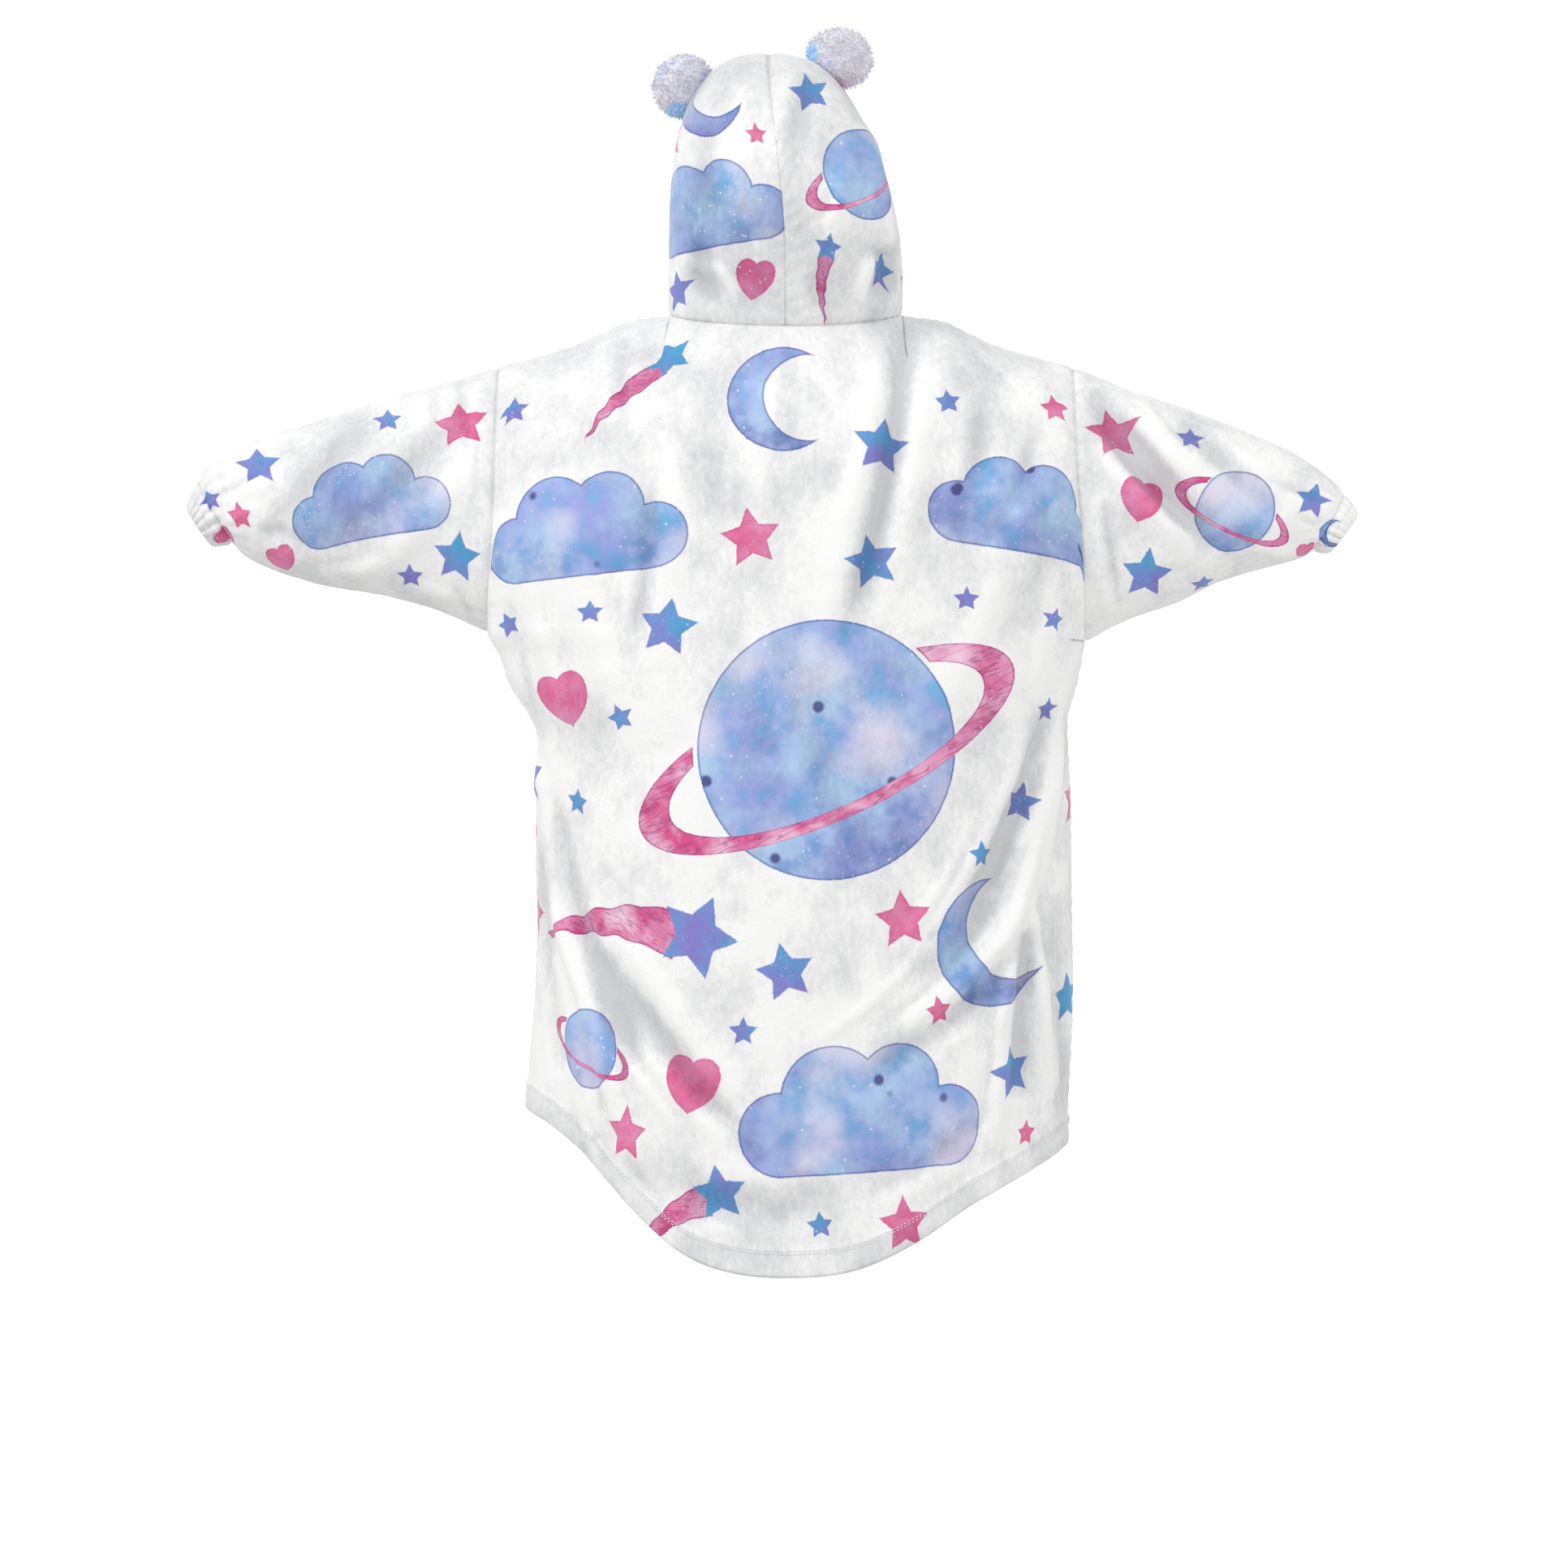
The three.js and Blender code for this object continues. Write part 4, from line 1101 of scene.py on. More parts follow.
@dataclass(frozen=True)
class HoodCut:
    """One half of the hood, in millimetres.

    Args:
        cut: The rules of the whole top.
        hand: Which half.
        rows: Cells from the neckline to the crown.
        round, swell: How the sides round over to the crown, and how they swell on the way.
        lean, lean_from, lean_to: How far the crown leans to the left, and between which heights.
        calm: How far folds keep from the seams, as a share.
        fold_back: Over what depth they fade towards the face opening.
        hem, hem_raise: The width of the turned edge of the face opening, and how far it stands out.
    """

    cut: Cut
    hand: Hand
    rows: int = 84
    round: float = 0.75
    swell: float = 0.8
    lean: float = 14.0
    lean_from: float = 40.0
    lean_to: float = 226.0
    calm: float = 0.1
    fold_back: float = 30.0
    hem: float = 16.0
    hem_raise: float = 1.3

    def sheet(self, back: Sheet, front: Sheet) -> Sheet:
        """Lays out the half.

        Args:
            back: The back panel, for the neckline behind.
            front: The front panel, for the neckline before.

        Returns:
            The sheet, without its folds.
        """
        centre, half = self.cut.columns // 2, self.cut.neck_columns // 2
        step = self.hand.value
        neck = [back.points[0, centre + step * k] for k in range(half + 1)]
        neck += [front.points[0, centre + step * k] for k in range(half - 1, -1, -1)]
        neck = np.array(neck)
        share = np.linspace(0, 1, len(neck))[None, :]
        turn = np.linspace(0, 1, self.rows + 1)[1:, None]
        a = turn * np.pi / 2
        inwards = np.where(turn < 1, np.maximum(np.cos(a), 0) ** self.round, 0.0)
        swell = np.where(turn < 1, np.maximum(np.sin(2 * a), 0) ** self.swell, 0.0)
        at = {c: HOOD.read(c, share) for c in HOOD.columns[1:]}
        x = step * (np.abs(neck[None, :, 0]) * inwards + at["out_x"] * swell)
        y = lerp(neck[None, :, 1], at["top_y"], 1 - np.cos(a)) + at["out_y"] * swell
        z = lerp(neck[None, :, 2], at["top_z"], lerp(turn, np.sin(a), at["climb"]))
        x = x + self.lean * smooth((z - self.lean_from) / (self.lean_to - self.lean_from))
        calm = smooth(turn / self.calm) * smooth((1 - turn) / self.calm) * smooth(share / self.calm)
        points = np.concatenate([neck[None], np.stack([x, y, z], axis=2)])
        calm = np.concatenate([np.zeros_like(calm[:1]), calm * smooth(y / self.fold_back)])
        over = distances(points, 1)
        band = self.hem_raise * smooth((self.hem - (over[:, -1:] - over)) / self.cut.edge_width)
        seam = np.concatenate([points[:, 0], points[-1, 1:]])
        seam = seam[: int(np.argmax(seam[:, 2])) + 1]
        height = points[..., 2]
        seam_x, seam_y = (np.interp(height, seam[:, 2], seam[:, k]) for k in (0, 1))
        around = np.hypot(points[..., 0] - seam_x, points[..., 1] - seam_y)
        return Sheet(
            name=f"hood_{self.hand.name.lower()}",
            points=points,
            calm=calm,
            print_x=-step * around,
            print_y=height,
            folds=HOOD_FOLDS,
            motifs=HOOD_PRINT[self.hand],
            flip=self.hand is Hand.LEFT,
            seams=("start", "end", "first"),
            band=band,
            ripple=0.9,
            seed=53 + self.hand.value,
        )


@dataclass(frozen=True)
class ShellMaker:
    """Turns sheets of points into closed cloth meshes with print coordinates.

    Args:
        cloth: The thickness of the cloth, in millimetres.
        sewn_edge: How far the middle of a sewn edge stands out, below zero for a groove.
        free_edge: How far that of a free edge does, as a share of the thickness.
    """

    cloth: float = 3.0
    sewn_edge: float = -0.05
    free_edge: float = 0.45

    def motif_facts(self, sheet: Sheet, cx: np.ndarray, cy: np.ndarray) -> np.ndarray:
        """Finds the motif that each cell belongs to.

        Args:
            sheet: The sheet.
            cx: The cells' middles across the flat cloth.
            cy: The cells' middles up the flat cloth.

        Returns:
            The index of the motif for each cell, or -1.
        """
        best = np.full(cx.shape, -1)
        nearest = np.ones(cx.shape)
        for k, motif in enumerate(sheet.motifs):
            turn = math.radians(motif.turn)
            dx, dy = (cx - motif.x) / motif.size, (cy - motif.y) / motif.size
            wide, tall, power = REACH[motif.shape]
            across = np.abs(dx * math.cos(turn) + dy * math.sin(turn)) / wide
            upright = np.abs(dy * math.cos(turn) - dx * math.sin(turn)) / tall
            away = (across**power + upright**power) ** (1 / power)
            closer = away < nearest
            nearest = np.where(closer, away, nearest)
            best = np.where(closer, k, best)
        return best

    def mesh(self, sheet: Sheet, normals: np.ndarray) -> bpy.types.Object:
        """Builds the closed shell of a sheet.

        Args:
            sheet: The sheet, draped.
            normals: Its unit normals.

        Returns:
            The new object.
        """
        rows, columns = sheet.points.shape[:2]
        band = np.zeros((rows, columns)) if sheet.band is None else sheet.band
        outer = sheet.points + normals * (self.cloth / 2 + band)[..., None]
        inner = sheet.points - normals * (self.cloth / 2)
        vertices = [outer.reshape(-1, 3), inner.reshape(-1, 3)]
        grid = np.arange(rows * columns).reshape(rows, columns)
        if sheet.wrap:
            grid = np.concatenate([grid, grid[:, :1]], axis=1)
        back = rows * columns
        a, b, c, d = cell_corners(grid)
        quads = np.stack([a, b, c, d], axis=-1).reshape(-1, 4)
        inside = np.stack([a, d, c, b], axis=-1).reshape(-1, 4) + back
        faces = [quads, inside]
        count = 2 * back
        edges = [("start", grid[0], 1, False), ("end", grid[-1], -2, True)]
        if not sheet.wrap:
            edges += [("first", grid[:, 0], 1, True), ("last", grid[:, -1], -2, False)]
        for name, line, towards, forward in edges:
            ring = line[:-1] if sheet.wrap else line
            points = sheet.points.reshape(-1, 3)
            if name in ("start", "end"):
                inwards = sheet.points[towards].reshape(-1, 3)
            else:
                inwards = sheet.points[:, towards]
            out = unit(points[ring] - inwards)
            bulge = self.sewn_edge if name in sheet.seams else self.cloth * self.free_edge
            vertices.append(points[ring] + out * bulge)
            rim = count + np.arange(len(ring))
            if sheet.wrap:
                rim = np.append(rim, rim[0])
            count += len(ring)
            near, far = line[:-1], line[1:]
            rim_near, rim_far = rim[:-1], rim[1:]
            upper = np.stack([near, far, rim_far, rim_near], axis=-1)
            lower = np.stack([rim_near, rim_far, far + back, near + back], axis=-1)
            both = np.concatenate([upper, lower])
            faces.append(both if forward else both[:, ::-1])
        faces = np.concatenate(faces)
        if sheet.flip:
            faces = faces[:, ::-1]
        mesh = bpy.data.meshes.new(sheet.name)
        mesh.from_pydata(np.concatenate(vertices) * MM, [], faces.tolist())
        self.paint(sheet, mesh, len(quads))
        mesh.polygons.foreach_set("use_smooth", [True] * len(mesh.polygons))
        mesh.update()
        return add_object(f"{sheet.name}_cloth", mesh)

    def paint(self, sheet: Sheet, mesh: bpy.types.Mesh, printed: int) -> None:
        """Gives the outer faces of a shell their place on the motif that they carry.

        Args:
            sheet: The sheet.
            mesh: Its mesh, whose first faces are the outer ones.
            printed: The number of outer faces.
        """
        px, py = sheet.print_x, sheet.print_y

        def corners(v: np.ndarray) -> np.ndarray:
            """Collects a value at the four corners of each outer face."""
            four = np.stack(cell_corners(v), axis=-1).reshape(-1, 4)
            return four[:, ::-1] if sheet.flip else four

        cx, cy = corners(px), corners(py)
        best = self.motif_facts(sheet, cx.mean(axis=1), cy.mean(axis=1))
        table = [[m.x, m.y, m.size, math.radians(m.turn), m.shape.value, m.tone] for m in sheet.motifs]
        row = np.array([*table, [0.0, 0.0, 1.0, 0.0, 0.0, 0.0]])[best]
        dx, dy = cx - row[:, 0:1], cy - row[:, 1:2]
        cos, sin = np.cos(row[:, 3:4]), np.sin(row[:, 3:4])
        local_x = (dx * cos + dy * sin) / row[:, 2:3]
        local_y = (dy * cos - dx * sin) / row[:, 2:3]
        for label, across, up in (("motif_place", local_x, local_y), ("cloth_place", cx * MM, cy * MM)):
            uv = np.zeros((len(mesh.loops), 2))
            uv[: printed * 4] = np.stack([across.reshape(-1), up.reshape(-1)], axis=1)
            mesh.uv_layers.new(name=label).data.foreach_set("uv", uv.reshape(-1))
        # The relief goes on each point, for the material's painted shade and highlight.
        relief = np.zeros(len(mesh.vertices))
        relief[: sheet.relief.size] = sheet.relief.reshape(-1)
        mesh.attributes.new("fold_relief", "FLOAT", "POINT").data.foreach_set("value", relief)
        facts = np.zeros((len(mesh.polygons), 3))
        facts[:printed] = np.stack([row[:, 4], row[:, 5], row[:, 2]], axis=1)
        carried = mesh.attributes.new("motif_facts", "FLOAT_VECTOR", "FACE")
        carried.data.foreach_set("vector", facts.reshape(-1))


class Value:
    """A number socket that takes part in Python sums.

    Args:
        graph: The graph that it belongs to.
        socket: The socket.
    """

    def __init__(self, graph: "Graph", socket: bpy.types.NodeSocket) -> None:
        """Keeps the graph and the socket."""
        self.graph = graph
        self.socket = socket

    def __add__(self, other) -> "Value":
        """Adds."""
        return self.graph.math("ADD", self, other)

    def __sub__(self, other) -> "Value":
        """Subtracts."""
        return self.graph.math("SUBTRACT", self, other)

    def __rsub__(self, other) -> "Value":
        """Subtracts from a number."""
        return self.graph.math("SUBTRACT", other, self)

    def __mul__(self, other) -> "Value":
        """Multiplies."""
        return self.graph.math("MULTIPLY", self, other)

    def __truediv__(self, other) -> "Value":
        """Divides."""
        return self.graph.math("DIVIDE", self, other)

    def __pow__(self, other) -> "Value":
        """Raises to a power."""
        return self.graph.math("POWER", self, other)

    def __abs__(self) -> "Value":
        """Drops the sign."""
        return self.graph.math("ABSOLUTE", self)

    __radd__ = __add__
    __rmul__ = __mul__

    def least(self, other) -> "Value":
        """Takes the smaller."""
        return self.graph.math("MINIMUM", self, other)

    def most(self, other) -> "Value":
        """Takes the larger."""
        return self.graph.math("MAXIMUM", self, other)

    def share(self) -> "Value":
        """Holds the value between 0 and 1."""
        return self.least(1.0).most(0.0)

    def ramp(self, start: float, gain: float) -> "Value":
        """Grows from 0 at the start by the gain, and holds at 1."""
        return ((self - start) * gain).share()

    def is_near(self, number: float) -> "Value":
        """Gives 1 where the value is a whole number, and 0 elsewhere."""
        return self.graph.math("COMPARE", self, number, 0.25)


class Nodes:
    """A node tree that the script builds."""

    tree: bpy.types.NodeTree

    def node(self, kind: str, settings: dict, sockets: dict) -> bpy.types.Node:
        """Adds a node.

        Args:
            kind: The node's type.
            settings: Its settings, which are set first.
            sockets: Values or links of its inputs, by name or number.

        Returns:
            The node.
        """
        made = self.tree.nodes.new(kind)
        for key, value in settings.items():
            setattr(made, key, value)
        for key, value in sockets.items():
            self.plug(made.inputs[key], value)
        return made

    def plug(self, socket: bpy.types.NodeSocket, value) -> None:
        """Links or sets one input."""
        if isinstance(value, Value):
            self.tree.links.new(value.socket, socket)
        elif isinstance(value, bpy.types.NodeSocket):
            self.tree.links.new(value, socket)
        else:
            socket.default_value = value


class Graph(Nodes):
    """The node graph of one material.

    Args:
        name: The material's name.
    """

    def __init__(self, name: str) -> None:
        """Makes the material with its shader and output."""
        self.material = bpy.data.materials.new(name)
        self.material.use_nodes = True
        self.tree = self.material.node_tree
        self.tree.nodes.clear()
        self.shader = self.node("ShaderNodeBsdfPrincipled", {}, {})
        out = self.node("ShaderNodeOutputMaterial", {}, {})
        self.tree.links.new(self.shader.outputs[0], out.inputs[0])

    def math(self, operation: str, *values) -> Value:
        """Adds a Math node and gives its result."""
        made = self.node("ShaderNodeMath", {"operation": operation}, dict(enumerate(values)))
        return Value(self, made.outputs[0])

    def mix(self, factor, a, b, blend: str = "MIX") -> bpy.types.NodeSocket:
        """Mixes two colours.

        Args:
            factor: The share of the second colour.
            a: The first colour.
            b: The second colour.
            blend: The way of mixing.

        Returns:
            The mixed colour.
        """
        settings = {"data_type": "RGBA", "blend_type": blend, "clamp_factor": True}
        return self.node("ShaderNodeMix", settings, {0: factor, 6: a, 7: b}).outputs[2]

    def noise(self, place, scale: float, detail: float = 2.0, roughness: float = 0.5) -> Value:
        """Adds a noise and gives its value."""
        sockets = {"Vector": place, "Scale": scale, "Detail": detail, "Roughness": roughness}
        return Value(self, self.node("ShaderNodeTexNoise", {}, sockets).outputs[0])

    def stretched(self, place, scale: tuple) -> bpy.types.NodeSocket:
        """Scales a place by a different amount along each axis."""
        return self.node("ShaderNodeVectorMath", {"operation": "MULTIPLY"}, {0: place, 1: scale}).outputs[0]

    def specks(self, place, scale: float, rare: float) -> Value:
        """Scatters small sharp spots.

        Args:
            place: The coordinates.
            scale: How many cells there are to a unit.
            rare: The share of the cells that stay empty.

        Returns:
            A mask, 1 on the spots.
        """
        cells = self.node("ShaderNodeTexVoronoi", {}, {"Vector": place, "Scale": scale})
        spot = ((0.27 - Value(self, cells.outputs["Distance"])) * 9.0).share()
        return spot * ((self.parts(cells.outputs["Color"])[0] - rare) * 9.0).share()

    def attribute(self, name: str) -> Value:
        """Gives a number that the mesh carries."""
        return Value(self, self.node("ShaderNodeAttribute", {"attribute_name": name}, {}).outputs["Fac"])

    def parts(self, vector) -> list:
        """Splits a vector into its three numbers."""
        made = self.node("ShaderNodeSeparateXYZ", {}, {0: vector})
        return [Value(self, made.outputs[k]) for k in range(3)]

    def object_place(self) -> bpy.types.NodeSocket:
        """Gives the object coordinates."""
        return self.node("ShaderNodeTexCoord", {}, {}).outputs["Object"]

    def set_shader(self, settings: dict) -> None:
        """Sets or links inputs of the shader by name."""
        for name, value in settings.items():
            self.plug(self.shader.inputs[name], value)

    def finish(
        self, colour, roughness, height: Value, distance: float, strength: float
    ) -> bpy.types.Material:
        """Feeds the shader.

        Args:
            colour: The base colour.
            roughness: The roughness.
            height: The bump's height.
            distance: The bump's distance in metres.
            strength: The bump's strength.

        Returns:
            The material.
        """
        self.set_shader({"Base Color": colour, "Roughness": roughness})
        bump = self.node("ShaderNodeBump", {}, {"Strength": strength, "Distance": distance, "Height": height})
        self.set_shader({"Normal": bump.outputs[0]})
        return self.material


def paint(hex_code: str) -> tuple:
    """Turns a screen colour such as 'a9c4ea' into the linear colour that a node takes."""
    parts = [int(hex_code[k : k + 2], 16) / 255 for k in (0, 2, 4)]
    return (*[p / 12.92 if p <= 0.04045 else ((p + 0.055) / 1.055) ** 2.4 for p in parts], 1.0)


PURE_WHITE = (1.0, 1.0, 1.0, 1.0)


@dataclass(frozen=True)
class PrintInks:
    """The colours of the print."""

    sky: tuple = paint("b7d6f7")
    periwinkle: tuple = paint("a2ace9")
    violet: tuple = paint("6a62b9")
    azure: tuple = paint("72bdea")
    lilac: tuple = paint("ebe6f8")
    spot: tuple = paint("3b3c80")
    line: tuple = paint("5a5fa6")
    rose: tuple = paint("f0a0c8")
    magenta: tuple = paint("df5691")
    blush: tuple = paint("f9d5e7")
    plum: tuple = paint("9c3f7e")
    star_blue: tuple = paint("55ade0")
    star_violet: tuple = paint("8f85d4")
    star_pink: tuple = paint("e86f9f")


@dataclass(frozen=True)
class Fleece:
    """Short soft pile, white, with the print.

    Args:
        white: The white of the cloth, which the painted highlights on fold ridges reach.
        shade: The grey of the random mottling and of the painted shade in fold troughs, on the hem band and
            on the upper parts.
        edge: The softness of the print's edges, in millimetres.
        line_width: The width of the fine lines round the large motifs.
    """

    white: tuple = paint("f6f6f5")
    shade: tuple = paint("c8c9cc")
    edge: float = 0.9
    line_width: float = 1.1
    inks: PrintInks = field(default_factory=PrintInks)

    def star(self, x: Value, y: Value, depth: float = 0.51) -> Value:
        """Gives the distance from the edge of a five-pointed star, below zero inside.

        Args:
            x: Places across the motif.
            y: Places up the motif.
            depth: How far in the corners between the points lie.

        Returns:
            The distance, in the motif's own units.
        """
        g = x.graph
        fifth = 2 * math.pi / 5
        angle = g.math("ARCTAN2", x, y) + math.pi / 5 + 2 * math.pi
        a = abs(g.math("MODULO", angle, fifth) - math.pi / 5)
        r = (x * x + y * y) ** 0.5
        tip_x, tip_y = depth * math.cos(math.pi / 5), depth * math.sin(math.pi / 5)
        dx, dy = tip_x - 1.0, tip_y
        length = math.hypot(dx, dy)
        px, py = r * g.math("COSINE", a) - 1.0, r * g.math("SINE", a)
        return (py * dx - px * dy) / -length

    def disc(self, x: Value, y: Value, cx: float, cy: float, r: float) -> Value:
        """Gives the distance from the edge of a disc, below zero inside."""
        return ((x - cx) ** 2 + (y - cy) ** 2) ** 0.5 - r

    def fields(self, x: Value, y: Value) -> dict:
        """Builds the outline of every kind of motif.

        Args:
            x: Places across the motif.
            y: Places up the motif.

        Returns:
            For each kind, the distance from its edge.
        """
        hx, hy = x * 1.22, y * 1.22 + 0.05
        heart = (hx * hx + hy * hy - 1.0 - (abs(hx) ** 0.6667) * hy) * 0.42
        moon = self.disc(x, y, 0, 0, 0.95).most(0.78 - ((x - 0.42) ** 2 + (y - 0.16) ** 2) ** 0.5)
        cloud = self.disc(x, y, -0.64, -0.12, 0.31).least(self.disc(x, y, -0.24, 0.12, 0.39))
        cloud = cloud.least(self.disc(x, y, 0.26, 0.17, 0.33)).least(self.disc(x, y, 0.66, -0.13, 0.30))
        base = (abs(x) - 0.66).most(abs(y + 0.2) - 0.23)
        cloud = cloud.least(base)
        head = self.star((x - 0.62) / 0.36, (y - 0.3) / 0.36) * 0.36
        spine = 0.24 - (0.62 - x) * (0.62 - x) * 0.30
        along = ((x + 0.98) / 1.5).share()
        wisp = 0.03 * x.graph.math("SINE", x * 21.0)
        tail = (abs(y - spine + wisp * (1.0 - along)) - 0.21 * along**0.7).most(x - 0.5).most(-1.0 * x - 0.98)
        ball = self.disc(x, y, 0, 0, 0.60)
        ring = abs((x * x + (y * y) * 9.0) ** 0.5 - 0.88) - 0.085
        hidden = y.least(0.62 - (x * x + y * y) ** 0.5)
        found = {"heart": heart, "moon": moon, "cloud": cloud, "head": head, "tail": tail, "ball": ball}
        return {**found, "ring": ring.most(hidden)}

    def printed(self, g: Graph, white) -> bpy.types.NodeSocket:
        """Lays the print over the white cloth.

        Args:
            g: The graph.
            white: The colour of the cloth.

        Returns:
            The colour with the print.
        """
        inks = self.inks
        place = g.node("ShaderNodeUVMap", {"uv_map": "motif_place"}, {}).outputs[0]
        cloth = g.node("ShaderNodeUVMap", {"uv_map": "cloth_place"}, {}).outputs[0]
        facts = g.node("ShaderNodeAttribute", {"attribute_name": "motif_facts"}, {}).outputs["Vector"]
        kind, tone, size = g.parts(facts)
        x, y, _ = g.parts(place)
        f = self.fields(x, y)
        star = self.star(x, y)
        is_kind = {shape: kind.is_near(shape.value) for shape in Shape if shape is not Shape.NONE}
        fuzz = (g.noise(cloth, 520.0, 1.0) - 0.5) * 1.6 + (g.noise(cloth, 120.0, 2.0) - 0.5) * 1.4
        wet = g.noise(cloth, 17.0, 3.0, 0.6)
        pool = g.noise(cloth, 34.0, 4.0, 0.62)
        vein = g.noise(cloth, 9.0, 2.0, 0.5)

        def inside(distance: Value) -> Value:
            """Turns a distance into a soft mask."""
            return (0.5 - (distance * size + fuzz) / self.edge).share()

        def outline(distance: Value) -> Value:
            """Masks a fine line just inside an edge."""
            return (1.0 - abs(distance * size + self.line_width * 0.8 + fuzz * 0.3) / self.line_width).share()

        wash = g.mix(wet.ramp(0.38, 4.0), inks.sky, inks.periwinkle)
        wash = g.mix(pool.ramp(0.5, 5.0), wash, inks.azure)
        wash = g.mix(((0.47 - vein) * 7.0).share(), wash, inks.lilac)
        low = ((0.1 - y) * 0.9).share() * pool.ramp(0.3, 3.0)
        wash = g.mix(low * 0.75, wash, inks.violet)
        speckle = g.node("ShaderNodeTexVoronoi", {"distance": "EUCLIDEAN"}, {"Vector": cloth, "Scale": 34.0})
        cell = Value(g, speckle.outputs["Distance"])
        pick = g.parts(speckle.outputs["Color"])[0]
        dots = ((0.20 - cell) * 14.0).share() * pick.ramp(0.55, 30.0)
        wash = g.mix(dots * 0.85, wash, inks.spot)
        flecks = g.node("ShaderNodeTexVoronoi", {}, {"Vector": cloth, "Scale": 120.0})
        fleck = ((0.16 - Value(g, flecks.outputs["Distance"])) * 10.0).share()
        fleck = fleck * ((g.parts(flecks.outputs["Color"])[1] - 0.62) * 20.0).share()
        wash = g.mix(fleck * 0.8, wash, self.white)
        pink = g.mix(pool.ramp(0.42, 4.5), inks.rose, inks.magenta)
        pink = g.mix(((0.45 - wet) * 6.0).share(), pink, inks.blush)
        strand = g.noise(g.stretched(place, (2.2, 16.0, 1.0)), 1.6, 2.0)
        streaks = (1.0 - abs(strand - 0.5) * 26.0).share()
        hair = g.mix(streaks * 0.6, pink, inks.plum)
        star_wash = g.mix(((wet - 0.35) * 3.5 - y * 0.3).share(), inks.star_blue, inks.star_violet)
        star_pink = g.mix(pool.ramp(0.4, 3.0), inks.star_pink, inks.rose)
        star_ink = g.mix(tone.ramp(0.5, 20.0), star_wash, star_pink)
        star_ink = g.mix(fleck * 0.5, star_ink, self.white)
        colour = white
        layers = (
            (is_kind[Shape.PLANET], f["ball"], wash, inks.line),
            (is_kind[Shape.PLANET], f["ring"], hair, inks.plum),
            (is_kind[Shape.CLOUD], f["cloud"], wash, inks.line),
            (is_kind[Shape.MOON], f["moon"], wash, inks.line),
            (is_kind[Shape.COMET], f["tail"], hair, inks.plum),
        )
        for chosen, distance, ink, line in layers:
            colour = g.mix(chosen * inside(distance), colour, ink)
            colour = g.mix(chosen * outline(distance) * 0.75, colour, line)
        colour = g.mix(is_kind[Shape.COMET] * inside(f["head"]), colour, star_wash)
        colour = g.mix(is_kind[Shape.HEART] * inside(f["heart"]), colour, star_pink)
        colour = g.mix(is_kind[Shape.HEART] * outline(f["heart"]) * 0.4, colour, inks.magenta)
        colour = g.mix(is_kind[Shape.STAR] * inside(star + 0.03), colour, star_ink)
        edge_ink = g.mix(tone.ramp(0.5, 20.0), inks.star_violet, inks.magenta)
        return g.mix(is_kind[Shape.STAR] * outline(star + 0.03) * 0.45, colour, edge_ink)

    def build(self, name: str) -> bpy.types.Material:
        """Makes the material."""
        g = Graph(name)
        place = g.object_place()
        lay = g.noise(g.stretched(place, (1.0, 1.0, 0.62)), 30.0, 5.0, 0.62)
        drift = g.noise(place, 8.5, 3.0, 0.5)
        tuft = g.noise(g.stretched(place, (1.0, 1.0, 0.55)), 230.0, 3.0, 0.6)
        hair = g.noise(place, 900.0, 2.0, 0.6)
        relief = g.attribute("fold_relief")
        # The folds' relief: painted shade in its troughs and a painted highlight on its ridges.
        trough, painted_ridge_highlight = (relief * -0.14).share() ** 0.8, (relief * 0.2).share()
        x, _, z = g.parts(place)
        crown = z.ramp(0.02, 12.0)
        # Painted shade on the upper parts: grey laid on the upper back, the hood's top and the tops of the
        # sleeves.
        body = ((0.085 - x * x) * 30.0).share()
        upper = ((z + 0.26) * 4.0).share() * body * 0.28 + z.ramp(0.08, 8.0) * 0.34
        upper = upper + ((z + 0.16) * 12.0).share() * (1.0 - body) * 0.26
        mottle = (lay - 0.5) * 1.5 + (drift - 0.5) * 1.5 + (tuft - 0.5) * 1.0
        # shade sums the random mottling, the painted shade of troughs and upper parts, and less of it on
        # ridges for a painted highlight.
        shade = (mottle + trough * 0.85 - painted_ridge_highlight * 0.75 + upper + 0.14).share()
        # Painted glints: small white spots in patches, more of them towards the hood's top.
        painted_glint = g.specks(place, 240.0, 0.66) * drift.ramp(0.44, 6.0) * (crown * 0.7 + 0.3)
        cloth = g.mix(shade * 0.9, self.white, self.shade)
        colour = self.printed(g, PURE_WHITE)
        # The painted shade and highlights darken and lighten the print as well.
        colour = g.mix(1.0, colour, cloth, "MULTIPLY")
        colour = g.mix(painted_glint * 0.9, colour, PURE_WHITE)
        height = lay * 0.35 + tuft * 0.45 + hair * 0.3
        g.set_shader({"Sheen Weight": 0.55, "Sheen Roughness": 0.35, "Sheen Tint": PURE_WHITE})
        g.set_shader({"Specular IOR Level": 0.25})
        roughness = 0.82 - shade * 0.1
        return g.finish(colour, roughness, height, 0.0022, 0.55)


